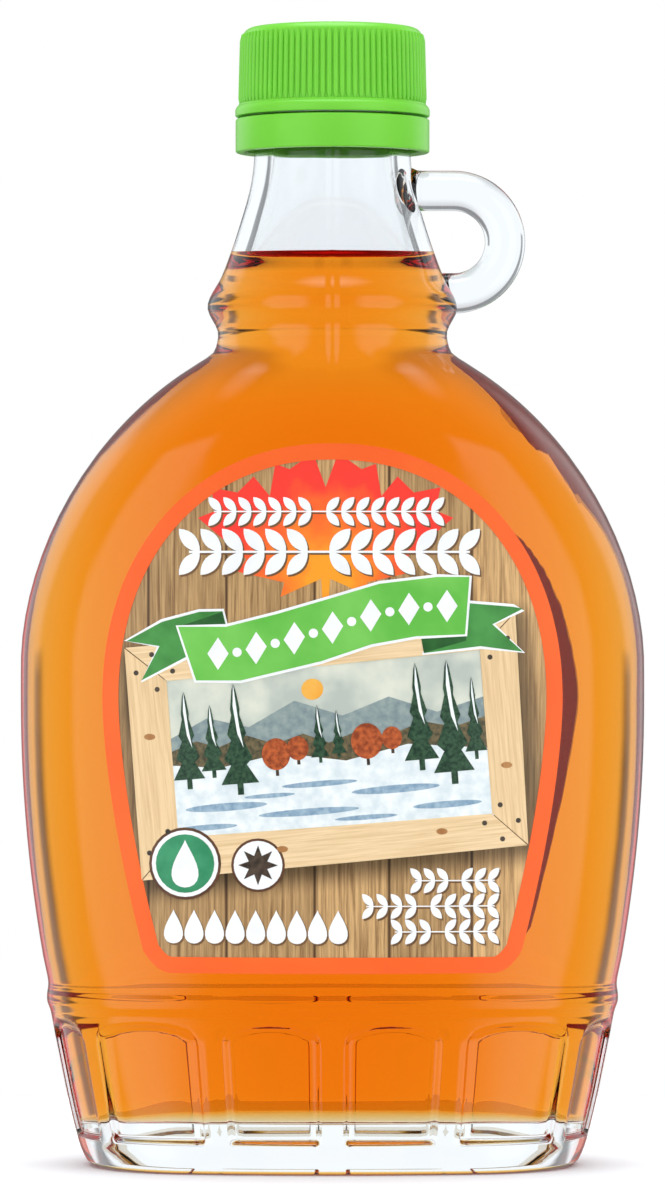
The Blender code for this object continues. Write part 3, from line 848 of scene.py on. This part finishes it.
def printed_wood(name, dark, light, joint, board, grain_turn=0.0, shaded=None):
    """Offset print of planed pine: long grain, a shade of its own for each board, dark joints. Board widths
    are millimetres, and a width of 0 gives one board. shaded is (middle, half sizes, tilt) of something that
    throws a soft shadow on the boards."""
    finish, tree, shader = finish_of(name, {"Roughness": 0.28})
    flat = add(tree, "ShaderNodeUVMap", uv_map="print")
    turned_flat = add(tree, "ShaderNodeMapping", {
        "Vector": flat, "Rotation": (0, 0, grain_turn), "Scale": (100, 100, 100),
    })
    stretched = add(tree, "ShaderNodeMapping", {
        "Vector": turned_flat, "Scale": (2.2, 0.07, 1),
    })
    grain = add(tree, "ShaderNodeTexNoise", {
        "Vector": stretched, "Scale": 1.0, "Detail": 5.0, "Roughness": 0.65,
        "Distortion": 0.4,
    })
    shades = add(tree, "ShaderNodeValToRGB", {"Fac": grain}, ((0.3, dark), (0.6, light)))
    colour = shades.outputs["Color"]
    if board:
        across = add(tree, "ShaderNodeSeparateXYZ", {"Vector": turned_flat})
        counted = add(tree, "ShaderNodeMath", {0: across.outputs["X"], 1: board}, operation="DIVIDE")
        cells = add(tree, "ShaderNodeTexVoronoi", {
            "W": counted, "Scale": 1.0, "Randomness": 0.7,
        }, voronoi_dimensions="1D")
        tone = add(tree, "ShaderNodeSeparateXYZ", {"Vector": cells.outputs["Color"]})
        dim = add(tree, "ShaderNodeMapRange", {"Value": tone.outputs["X"], "To Min": 0.72, "To Max": 1.1})
        toned = add(tree, "ShaderNodeVectorMath", {
            0: colour, "Scale": dim,
        }, operation="SCALE")
        edges = add(tree, "ShaderNodeTexVoronoi", {
            "W": counted, "Scale": 1.0, "Randomness": 0.7,
        }, voronoi_dimensions="1D", feature="DISTANCE_TO_EDGE")
        gap = add(tree, "ShaderNodeMapRange", {
            "Value": edges, "From Min": 0.008, "From Max": 0.03,
        })
        joined = add(tree, "ShaderNodeMix", {
            0: gap, 6: linear(joint), 7: toned,
        }, data_type="RGBA")
        colour = joined.outputs[2]
    if shaded:
        middle, half_sizes, tilt = shaded
        centred = add(tree, "ShaderNodeVectorMath", {
            0: flat, 1: (middle[0] / 100, middle[1] / 100, 0),
        }, operation="SUBTRACT")
        level = add(tree, "ShaderNodeMapping", {
            "Vector": centred, "Rotation": (0, 0, -tilt), "Scale": (100, 100, 100),
        })
        away = add(tree, "ShaderNodeVectorMath", {0: level}, operation="ABSOLUTE")
        past = add(tree, "ShaderNodeVectorMath", {
            0: away, 1: (half_sizes[0], half_sizes[1], 0),
        }, operation="SUBTRACT")
        outside = add(tree, "ShaderNodeVectorMath", {
            0: past, 1: (0, 0, 0),
        }, operation="MAXIMUM")
        distance = add(tree, "ShaderNodeVectorMath", {0: outside}, operation="LENGTH")
        shadow = add(tree, "ShaderNodeMapRange", {
            "Value": distance.outputs["Value"], "From Min": 0.0, "From Max": 4.5, "To Min": 0.3,
        }, interpolation_type="SMOOTHSTEP")
        shaded_colour = add(tree, "ShaderNodeVectorMath", {
            0: colour, "Scale": shadow,
        }, operation="SCALE")
        colour = shaded_colour.outputs["Vector"]
    tree.links.new(colour, shader.inputs["Base Color"])
    return finish


def printed(name, outlines, layer, *finishes, back=False, joined=False):
    """A field of print on a label: closed plates, which stand out of the paper by their layer."""
    mesh = sheet_of(outlines, PAPER_TOP - LAYER, PAPER_TOP + layer * LAYER, joined)
    bent(mesh, *(BACK_BEND if back else ()))
    field = object_of(name, mesh, *finishes)
    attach(field, "root")
    return field


FRAME_SHADOW = ((0.2, 68.0), (31.0, 18.0), math.radians(5.5))    # (middle, half sizes, tilt)
boards = printed_wood("printed pine boards", "#8a6339", "#dcb077", "#5e4229", 12.0, shaded=FRAME_SHADOW)
printed("print_boards", [drawn_in(label_outline(), BORDER)], 1, boards)

# Printed leaf
# A big autumn maple leaf on the boards, behind the garland: one field of ink, which runs from amber in its
# middle to red at its tips.
LEAF_MIDDLE = (-1.1, 98.2)
LEAF_SIZE = 14.4
LEAF_HALF = (                # right half of the leaf from its stem up, in parts of its size
    (0.03, -0.50), (0.05, -0.16), (0.50, -0.36), (0.46, -0.20), (0.98, -0.08), (0.88, 0.06), (1.42, 0.52),
    (1.22, 0.60), (1.28, 0.86), (0.98, 0.80), (0.80, 0.98), (0.62, 0.76), (0.56, 1.12), (0.40, 1.06),
    (0.14, 1.24),
)
LEAF_NOTCH = 0.86            # where the two halves meet at the top, in the same parts


def autumn_leaf():
    """Offset print of a maple leaf: amber near the stem, orange further out and red at the tips."""
    finish, tree, shader = finish_of("autumn leaf ink", {"Roughness": 0.28})
    flat = add(tree, "ShaderNodeUVMap", uv_map="print")
    centred = add(tree, "ShaderNodeVectorMath", {
        0: flat, 1: (LEAF_MIDDLE[0] / 100, (LEAF_MIDDLE[1] - 2) / 100, 0),
    }, operation="DISTANCE")
    uneven = add(tree, "ShaderNodeTexNoise", {"Vector": flat, "Scale": 28.0, "Detail": 2.0})
    pushed = add(tree, "ShaderNodeMath", {
        0: uneven, 1: 0.09, 2: centred.outputs["Value"],
    }, operation="MULTIPLY_ADD")
    shades = add(tree, "ShaderNodeValToRGB", {"Fac": pushed}, (
        (0.075, "#fb9f1c"), (0.20, "#fb3a2c"), (0.13, "#fd7420"),
    ))
    tree.links.new(shades.outputs["Color"], shader.inputs["Base Color"])
    return finish


half = [(LEAF_MIDDLE[0] + LEAF_SIZE * x, LEAF_MIDDLE[1] + LEAF_SIZE * up) for x, up in LEAF_HALF]
other_half = [(2 * LEAF_MIDDLE[0] - x, height) for x, height in half[::-1]]
notch = (LEAF_MIDDLE[0], LEAF_MIDDLE[1] + LEAF_SIZE * LEAF_NOTCH)
printed("print_leaf", [half + [notch] + other_half], 2, autumn_leaf())

# Printed border
# The orange band round the edge, in the ink of the sheet's own ground. It is printed over the ends of the
# boards and the tips of the leaf.
rim = label_outline()
inner_rim = drawn_in(rim, BORDER)
strips = [
    [rim[index - 1], rim[index], inner_rim[index], inner_rim[index - 1]] for index in range(len(rim))
]
printed("print_border", strips, 5, border_ink, joined=True)

# Printed garland
# White sprigs of paired leaves over the maple leaf and in the lower corner. Each is printed first in brown, a
# little lower and to the right, which gives it a shadow.
SHADOW_OFFSET = (0.25, -0.3)
LEAF_LEAN = math.radians(48)
GARLAND = (                  # (left end, right end, height, leaf length, pairs of leaves)
    (-19.0, 17.0, 106.8, 3.1, 15), (-23.0, 22.0, 100.4, 5.0, 13), (13.2, 26.0, 47.6, 2.7, 6),
    (5.4, 26.0, 43.5, 2.7, 9), (10.0, 26.0, 39.4, 2.7, 7),
)


def almond(length, width, steps=8):
    """Pointed oval, its root at the middle and its tip along the first axis."""
    upper = [
        (length * step / steps, width / 2 * math.sin(math.pi * step / steps) ** 0.8)
        for step in range(steps + 1)
    ]
    return upper[::-1] + [(x, -up) for x, up in upper[1:-1]]


def sprig(left, right, height, leaf_length, pairs):
    """Outlines of a level stem with leaves leaning away from its middle."""
    outlines = []
    stem = 0.07 * leaf_length
    outlines.append([(left, height), (left, height - stem), (right, height - stem), (right, height)][::-1])
    middle = (left + right) / 2
    for pair in range(pairs):
        root = left + (right - left) * (pair + 0.5) / pairs
        side = 1 if root >= middle else -1
        for lean in (LEAF_LEAN, -LEAF_LEAN):
            outline = []
            for x, up in almond(leaf_length, leaf_length * 0.46):
                along = x * math.cos(lean) - up * math.sin(lean)
                rise = x * math.sin(lean) + up * math.cos(lean)
                outline.append((root + side * along, height - stem / 2 + rise))
            outlines.append(outline if side > 0 else outline[::-1])
    return outlines


def sprigs(rows):
    return [outline for row in rows for outline in sprig(*row)]


def shadowed(name, outlines):
    """Prints these in white, over their own brown shadow."""
    right, up = SHADOW_OFFSET
    shadow = [[(x + right, height + up) for x, height in outline] for outline in outlines]
    printed(name + "_shadow", shadow, 3, shadow_ink)
    printed(name, outlines, 4, white_ink)


white_ink = ink("white ink", "#f0efef", "#f8f8f7", patch=6.0)
shadow_ink = ink("brown shadow ink", "#6b4c30", "#7d5b3b", patch=6.0)
shadowed("print_garland", sprigs(GARLAND))

# Printed frame
# Four mitred pine boards, nailed at the corners, round a small picture. They are printed in lighter shades
# than the ground, with a dark field under them that shows at the mitres.
FRAME_OUTSIDE = ((-33.4, 84.8), (29.3, 90.6), (31.4, 53.1), (-30.6, 47.4))     # from upper left, clockwise
FRAME_INSIDE = ((-26.6, 79.5), (23.6, 84.5), (25.6, 58.2), (-24.7, 54.4))
MITRE_GAP = 0.12
NAIL_RADIUS = 0.42
NAIL_FROM_END = 2.6
KNOTS = ((-8.0, 52.6), (17.5, 55.4), (27.9, 66.0), (-29.3, 70.5))
FRAME_LAYER = 9


def between(start, end, part):
    return start[0] + (end[0] - start[0]) * part, start[1] + (end[1] - start[1]) * part


def round_field(middle, across, up=None, steps=28):
    """Outline of a disc or an oval."""
    up = up or across
    turns = [2 * math.pi * step / steps for step in range(steps)]
    return [(middle[0] + across * math.cos(turn), middle[1] + up * math.sin(turn)) for turn in turns]


level_boards = []
upright_boards = []
nails = []
for corner in range(4):
    following = (corner + 1) % 4
    board = [FRAME_OUTSIDE[corner], FRAME_OUTSIDE[following], FRAME_INSIDE[following], FRAME_INSIDE[corner]]
    long_side = math.dist(board[0], board[1])
    gap = MITRE_GAP / long_side
    board = [
        between(board[0], board[1], gap), between(board[1], board[0], gap),
        between(board[2], board[3], gap), between(board[3], board[2], gap),
    ]
    (upright_boards if corner % 2 else level_boards).append(board)
    for across in (0.25, 0.75):
        for start, end in ((board[0], board[3]), (board[1], board[2])):
            root = between(start, end, across)
            middle = between(between(board[0], board[1], 0.5), between(board[2], board[3], 0.5), across)
            nail = between(root, middle, NAIL_FROM_END / math.dist(root, middle))
            nails.append(round_field(nail, NAIL_RADIUS, steps=10))
tilt = math.atan2(FRAME_INSIDE[1][1] - FRAME_INSIDE[0][1], FRAME_INSIDE[1][0] - FRAME_INSIDE[0][0])
level_pine = printed_wood("printed pine, level grain", "#dcb885", "#f4d5a8", "#a87e50", 0, math.pi / 2 - tilt)
upright_pine = printed_wood("printed pine, upright grain", "#d8b382", "#f0cf9f", "#a87e50", 0, -tilt)
printed("print_frame_joints", [list(FRAME_OUTSIDE)], 2, shadow_ink)
printed("print_frame_level", level_boards, FRAME_LAYER, level_pine)
printed("print_frame_upright", upright_boards, FRAME_LAYER, upright_pine)
knots = [round_field(place, 0.9, 0.5) for place in KNOTS]
printed("print_frame_knots", knots, FRAME_LAYER + 1, ink("knot ink", "#a9713f", "#bd8650", patch=1.0))
nail_ink = ink("nail head ink", "#3a3028", "#5a4a3c", patch=1.0)
printed("print_frame_nails", nails, FRAME_LAYER + 1, nail_ink)

# Printed picture
# A snowy slope at dusk in flat inks: two ridges, spruces with snow on them and round rust-red trees. Each ink
# lies over the one behind it, from the sky forward.


def pictured(name, outlines, layer, finish):
    """Prints outlines that are given in shares of the picture's width and height."""
    upper_left, upper_right, lower_right, lower_left = FRAME_INSIDE
    printed(name, [
        [
            between(between(lower_left, lower_right, across), between(upper_left, upper_right, across), up)
            for across, up in outline
        ]
        for outline in outlines
    ], layer, finish)


def spruce(across, foot, tall, wide, tiers=4):
    """Outline of a spruce: tiers of branches that narrow to the tip."""
    right = [(across + wide * 0.08, foot), (across + wide * 0.08, foot + tall * 0.1)]
    for tier in range(tiers):
        reach = wide / 2 * (1 - tier / tiers)
        low = foot + tall * (0.1 + 0.9 * tier / tiers)
        high = foot + tall * (0.1 + 0.9 * (tier + 1) / tiers)
        right += [(across + reach, low), (across + reach * 0.42, low + (high - low) * 0.75)]
    left = [(2 * across - x, up) for x, up in right[::-1]]
    return right + [(across, foot + tall)] + left


def snow_cap(across, foot, tall, wide):
    """Snow on the right side of a spruce's upper tiers."""
    outline = ((0.08, 0.62), (0.16, 0.42), (0.02, 0.55), (-0.05, 0.8), (0, 1))
    return [(across + wide * x, foot + tall * up) for x, up in outline]


SPRUCES = (                  # (across, foot, height, width), in shares of the picture
    (0.05, 0.30, 0.62, 0.10), (0.13, 0.36, 0.46, 0.08), (0.21, 0.24, 0.70, 0.12), (0.47, 0.40, 0.36, 0.06),
    (0.53, 0.42, 0.30, 0.05), (0.79, 0.30, 0.66, 0.11), (0.89, 0.20, 0.76, 0.13), (0.965, 0.34, 0.5, 0.07),
)
ROUND_TREES = (              # (across, foot, height, half width)
    (0.33, 0.34, 0.20, 0.045), (0.40, 0.40, 0.15, 0.034), (0.62, 0.36, 0.22, 0.05), (0.70, 0.42, 0.14, 0.032),
)
DRIFTS = (                   # (across, up, half width, half height) of the hollows in the snow
    (0.16, 0.17, 0.13, 0.025), (0.42, 0.10, 0.16, 0.022), (0.46, 0.27, 0.12, 0.018),
    (0.70, 0.20, 0.14, 0.024), (0.86, 0.08, 0.11, 0.02), (0.60, 0.04, 0.10, 0.015),
    (0.10, 0.05, 0.09, 0.018), (0.30, 0.22, 0.08, 0.014),
)
SKY = ((-0.01, -0.01), (1.01, -0.01), (1.01, 1.01), (-0.01, 1.01))      # a hair under the frame on each side
FAR_RIDGE = (
    (-0.01, 0.62), (0.12, 0.74), (0.25, 0.66), (0.40, 0.80), (0.55, 0.68), (0.70, 0.77), (0.85, 0.65),
    (1.01, 0.72), (1.01, 0.3), (-0.01, 0.3),
)
NEAR_RIDGE = (
    (-0.01, 0.54), (0.08, 0.60), (0.15, 0.55), (0.24, 0.61), (0.33, 0.54), (0.42, 0.59), (0.5, 0.52),
    (0.6, 0.58), (0.69, 0.53), (0.8, 0.6), (0.9, 0.55), (1.01, 0.6), (1.01, 0.3), (-0.01, 0.3),
)
SLOPE = (
    (-0.01, 0.46), (0.15, 0.42), (0.35, 0.48), (0.55, 0.40), (0.75, 0.47), (1.01, 0.40), (1.01, -0.01),
    (-0.01, -0.01),
)
crowns = []
stems = []
for x, foot, tall, wide in ROUND_TREES:
    crowns.append(round_field((x, foot + tall * 0.68), wide, tall * 0.5))
    top = foot + tall * 0.7
    stems.append([(x - 0.005, foot), (x + 0.005, foot), (x + 0.004, top), (x - 0.004, top)])
drifts = [round_field((x, up), wide, high) for x, up, wide, high in DRIFTS]
spruces = [spruce(*tree) for tree in SPRUCES]
snow_caps = [snow_cap(*tree) for tree in SPRUCES]
pictured("print_sky", [SKY], 3, ink("pale dusk ink", "#b9c0b6", "#dfe0cf", 7.0))
sun = round_field((0.46, 0.86), 0.035, 0.066)
pictured("print_sun", [sun], 4, ink("amber sun ink", "#f5a83a", "#f8bd55"))
pictured("print_far_ridge", [FAR_RIDGE], 4, ink("blue-grey ridge ink", "#7f8f92", "#98a6a2", 1.2))
pictured("print_near_ridge", [NEAR_RIDGE], 5, ink("wood brown ink", "#4c4a38", "#7c6c4c", 0.7))
pictured("print_slope", [SLOPE], 6, ink("snow ink", "#d9e3e6", "#f3f6f5", 2.0))
pictured("print_drifts", drifts, 7, ink("blue snow shadow ink", "#7f9db5", "#a5bccb", 1.0))
pictured("print_stems", stems, 7, nail_ink)
pictured("print_crowns", crowns, 8, ink("rust-red crown ink", "#8f3f1f", "#c9622f", 0.8))
pictured("print_spruces", spruces, 8, ink("spruce green ink", "#1f3a2a", "#3f5f45", 0.6))
pictured("print_caps", snow_caps, 8.5, ink("snow cap ink", "#eef2f2", "#f8faf9"))

# Printed ribbon
# A waving green ribbon over the frame, white at its edges, with folded tails. A white chain of lozenges and
# dots is printed along it.
RIBBON_TOP = (
    (-24.7, 88.2), (-17.0, 88.2), (-8.7, 90.3), (-0.2, 92.8), (7.5, 95.1), (16.8, 96.2), (21.9, 96.2),
)
RIBBON_BOTTOM = ((-21.8, 79.6), (-14.7, 79.6), (-1.8, 82.7), (6.2, 85.4), (13.4, 86.7), (21.2, 87.0))
TAILS = (
    ((-33.0, 85.9), (-27.7, 85.1), (-30.6, 79.6), (-23.2, 83.5), (-17.0, 88.3), (-17.6, 90.7), (-21.3, 90.6),
     (-27.3, 89.0)),
    ((14.6, 84.0), (23.7, 85.1), (30.5, 84.2), (25.6, 88.6), (30.5, 91.1), (29.0, 91.4), (21.6, 92.0),
     (17.0, 91.0)),
)
FOLDS = (
    ((-24.7, 88.2), (-17.0, 87.6), (-17.6, 90.6)),
    ((14.6, 84.0), (21.4, 86.0), (21.3, 88.0), (14.0, 87.4)),
)
RIBBON_EDGE = 0.45
LOZENGES = 7
FIRST_LOZENGE = -18.3
LOZENGE_SPACING = 6.1
LOZENGE_HALF_WIDTH = 1.7
LOZENGE_HALF_HEIGHT = 2.6
LOZENGE_LEAN = 0.25          # none on the level ends of the ribbon
DOT_RADIUS = 0.75


def height_on(line, x):
    """Height of a broken line over this place across."""
    for (left, low), (right, high) in zip(line, line[1:]):
        if left <= x <= right:
            return low + (high - low) * (x - left) / (right - left)
    return line[0][1] if x < line[0][0] else line[-1][1]


def ribbon_middle(x):
    return (height_on(RIBBON_TOP, x) + height_on(RIBBON_BOTTOM, x)) / 2


band = RIBBON_BOTTOM + RIBBON_TOP[::-1]
printed("print_tail_edges", [drawn_in(tail, -RIBBON_EDGE) for tail in TAILS], 10, white_ink)
printed("print_tails", TAILS, 11, ink("ribbon tail ink", "#3a8238", "#4c9a49", 5.0))
printed("print_folds", FOLDS, 12, ink("ribbon fold ink", "#26592a", "#2f6a30"))
printed("print_ribbon_edge", [drawn_in(band, -RIBBON_EDGE)], 13, white_ink)
printed("print_ribbon", [band], 14, ink("ribbon green ink", "#64bd45", "#7bcc58", 9.0))
chain = []
for link in range(LOZENGES):
    x = FIRST_LOZENGE + LOZENGE_SPACING * link
    middle = ribbon_middle(x)
    lean = LOZENGE_LEAN if 0 < link < LOZENGES - 1 else 0.0
    chain.append([
        (x, middle - LOZENGE_HALF_HEIGHT), (x + LOZENGE_HALF_WIDTH, middle + lean),
        (x, middle + LOZENGE_HALF_HEIGHT), (x - LOZENGE_HALF_WIDTH, middle - lean),
    ])
    if link < LOZENGES - 1:
        x += LOZENGE_SPACING / 2
        chain.append(round_field((x, ribbon_middle(x)), DOT_RADIUS, steps=14))
printed("print_chain", chain, 15, white_ink)

# Printed medallions
# Two round marks low on the frame: a green disc with a drop, and a cream disc with a star. Neither stands
# for anything.
GREEN_MIDDLE = (-23.6, 50.2)
GREEN_RADIUS = 5.8
CREAM_MIDDLE = (-11.9, 50.0)
CREAM_RADIUS = 4.3
MEDALLION_MARGIN = 1.1       # from a medallion's edge to what is in it
DROP_ROW = [(-25.5 + 3.3 * place, 40.1) for place in range(9)]
DROP_SIZE = 4.4


def drop(middle, size):
    """Outline of a drop with its tip up."""
    outline = []
    for step in range(24):
        turn = 2 * math.pi * step / 24
        outline.append((
            middle[0] + size * 0.5 * math.sin(turn) * math.sin(turn / 2) ** 1.5,
            middle[1] + size * 0.62 * math.cos(turn),
        ))
    return outline[::-1]


def star(middle, radius, points=8, waist=0.5):
    turns = [math.pi * step / points for step in range(2 * points)]
    reaches = [radius if step % 2 == 0 else radius * waist for step in range(2 * points)]
    return [
        (middle[0] + reach * math.sin(turn), middle[1] + reach * math.cos(turn))
        for turn, reach in zip(turns, reaches)
    ][::-1]


rims = [round_field(GREEN_MIDDLE, GREEN_RADIUS), round_field(CREAM_MIDDLE, CREAM_RADIUS)]
fields = [round_field(GREEN_MIDDLE, GREEN_RADIUS - 0.45), round_field(CREAM_MIDDLE, CREAM_RADIUS - 0.4)]
green_field = [round_field(GREEN_MIDDLE, GREEN_RADIUS - MEDALLION_MARGIN)]
printed("print_medallion_rims", rims, 10, ink("brown medallion ink", "#5b3a26", "#6b4630"))
printed("print_medallion_fields", fields, 11, white_ink)
printed("print_medallion_green", green_field, 12, ink("medallion green ink", "#2f8a5c", "#3f9a6b"))
printed("print_medallion_marks", [drop(GREEN_MIDDLE, 6.2)], 13, white_ink)
printed("print_medallion_star", [star(CREAM_MIDDLE, CREAM_RADIUS - MEDALLION_MARGIN)], 12, nail_ink)
shadowed("print_drops", [drop(place, DROP_SIZE) for place in DROP_ROW])

# Back label
# The same paper, a size smaller and set a little towards the ear. Its bare glued side shows through the
# syrup past the edge of the front label.
BACK_BEND = (1, 1.5, (0.92, 0.94))     # on the back, how far towards the ear, size across and in height
BACK_SPRIGS = ((-20.0, 20.0, 104.0, 4.0, 11), (-24.0, 24.0, 46.0, 4.0, 13))

back_label = label_paper("back_label_paper", *BACK_BEND)
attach(back_label, "root")
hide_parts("back_label")

sprig_brown = ink("sprig brown ink", "#7d5b3b", "#8c6a48")
cream_ink = ink("cream panel ink", "#f3e4c6", "#f8edd6", 9.0)
printed("back_panel", [drawn_in(label_outline(), BORDER)], 1, cream_ink, back=True)
printed("back_sprigs", sprigs(BACK_SPRIGS), 2, sprig_brown, back=True)
printed("back_drop", [drop((0.0, 76.0), 22.0)], 2, border_ink, back=True)

# Floor, light and camera
# A white table in a tent of soft white light. The camera stands level, straight in front.
CAMERA_DISTANCE = 1035.0
CAMERA_HEIGHT = 92.5
FRAME_HEIGHT = 196.8         # what the picture's height covers at the flask's axis
SENSOR = 24.0
TABLE_RADIUS = 150.0
TENT_BACK = 1.15             # strengths of the light that comes through the glass
TENT_FRONT = 0.80
TENT_STEEP = 0.75            # share of it left from far up or down
TENT_CORNER = 0.30
ROOM = 0.04                  # strengths of what the glass mirrors
ROOM_BACK = 0.30
PANEL = 1.1
OVERHEAD = 4.5
EVEN = 1.15                  # strengths of the light on paper and plastic
EVEN_TOP = 1.4


def table(name, colour, height):
    """A round matt table top."""
    finish = finish_of(name, {"Base Color": linear(colour), "Roughness": 1.0, "Specular IOR Level": 0.0})[0]
    ground = bmesh.new()
    bmesh.ops.create_circle(ground, cap_ends=True, segments=96, radius=TABLE_RADIUS * MM)
    for vertex in ground.verts:
        vertex.co.z = height * MM
    top = object_of(name, ground, finish)
    top.visible_glossy = False      # the leaning base wall would mirror too much of it
    return top


floor = table("white table", "#fafafa", 0.0)
floor.visible_transmission = False
# Painted shade: a darker, warmer copy of the table, seen only through the glass, stands in for the shade that
# the floor under and behind the flask lies in.
shaded_table_seen_through = table("table in painted shade, seen through the glass", "#ebe5d8", -0.5)
shaded_table_seen_through.visible_camera = False
shaded_table_seen_through.visible_diffuse = False
shaded_table_seen_through.visible_shadow = False

scene = bpy.context.scene
scene.view_settings.view_transform = "Standard"
scene.cycles.transmission_bounces = 20
scene.cycles.max_bounces = 24
scene.cycles.sample_clamp_indirect = 4.0


def lit_zone(tree, value, start, end):
    """1 where the value is past end, 0 before start, with a soft edge between them."""
    zone = add(tree, "ShaderNodeMapRange", {
        "Value": value, "From Min": start, "From Max": end,
    }, interpolation_type="SMOOTHSTEP")
    return zone.outputs["Result"]


def light_tent():
    """A bright tent, white to the eye. Through the glass it is white behind and beside the flask, with dim
    corners between its sheets and a dim band over them. In the glass it mirrors as a dark room with a tall
    panel at each side and one overhead. On paper and plastic it throws even light."""
    world = bpy.data.worlds.new("light tent")
    world.use_nodes = True
    tree = world.node_tree

    def multiplied(first, second):
        return add(tree, "ShaderNodeMath", {0: first, 1: second}, operation="MULTIPLY").outputs[0]

    def chosen(zone, without, within):
        return add(tree, "ShaderNodeMix", {0: zone, 2: without, 3: within}).outputs[0]

    place = add(tree, "ShaderNodeTexCoord")
    way = add(tree, "ShaderNodeSeparateXYZ", {"Vector": place.outputs["Generated"]})
    sizes = add(tree, "ShaderNodeVectorMath", {0: place.outputs["Generated"]}, operation="ABSOLUTE")
    size = add(tree, "ShaderNodeSeparateXYZ", {"Vector": sizes})
    nearest = add(tree, "ShaderNodeMath", {0: size.outputs["X"], 1: size.outputs["Y"]}, operation="MAXIMUM")
    behind = lit_zone(tree, way.outputs["Y"], -0.5, 0.5)
    overhead = lit_zone(tree, way.outputs["Z"], 0.84, 0.95)
    low = lit_zone(tree, size.outputs["Z"], 0.62, 0.45)
    least = add(tree, "ShaderNodeMath", {0: size.outputs["X"], 1: size.outputs["Y"]}, operation="MINIMUM")
    panels = multiplied(lit_zone(tree, least.outputs[0], 0.30, 0.50), low)
    sheets = lit_zone(tree, nearest.outputs[0], 0.72, 0.80)
    ground = lit_zone(tree, way.outputs["Z"], 0.0, -0.05)
    steep = lit_zone(tree, size.outputs["Z"], 0.3, 0.6)
    sheet_light = chosen(behind, TENT_FRONT, TENT_BACK)
    sheet_light = multiplied(sheet_light, chosen(steep, 1.0, TENT_STEEP))
    through = chosen(overhead, chosen(sheets, TENT_CORNER, sheet_light), TENT_BACK)
    through = chosen(ground, through, sheet_light)
    mirrored = chosen(overhead, chosen(panels, chosen(behind, ROOM, ROOM_BACK), PANEL), OVERHEAD)
    ray = add(tree, "ShaderNodeLightPath")
    strength = chosen(ray.outputs["Is Transmission Ray"], mirrored, through)
    strength = chosen(ray.outputs["Is Diffuse Ray"], strength, chosen(overhead, EVEN, EVEN_TOP))
    strength = chosen(ray.outputs["Is Camera Ray"], strength, 1.0)
    tint = add(tree, "ShaderNodeMix", {
        0: ray.outputs["Is Camera Ray"], 6: linear("#f4f8fb"), 7: linear("#ffffff"),
    }, data_type="RGBA")
    background = tree.nodes["Background"]
    tree.links.new(tint.outputs[2], background.inputs["Color"])
    tree.links.new(strength, background.inputs["Strength"])
    return world


scene.world = light_tent()

lens = bpy.data.cameras.new("camera")
lens.sensor_fit = "VERTICAL"
lens.sensor_height = SENSOR
lens.lens = SENSOR * CAMERA_DISTANCE / FRAME_HEIGHT
lens.clip_start = 0.05
camera = bpy.data.objects.new("camera", lens)
camera.location = (0, -CAMERA_DISTANCE * MM, CAMERA_HEIGHT * MM)
camera.rotation_euler = (math.pi / 2, 0, 0)
scene.collection.objects.link(camera)
scene.camera = camera
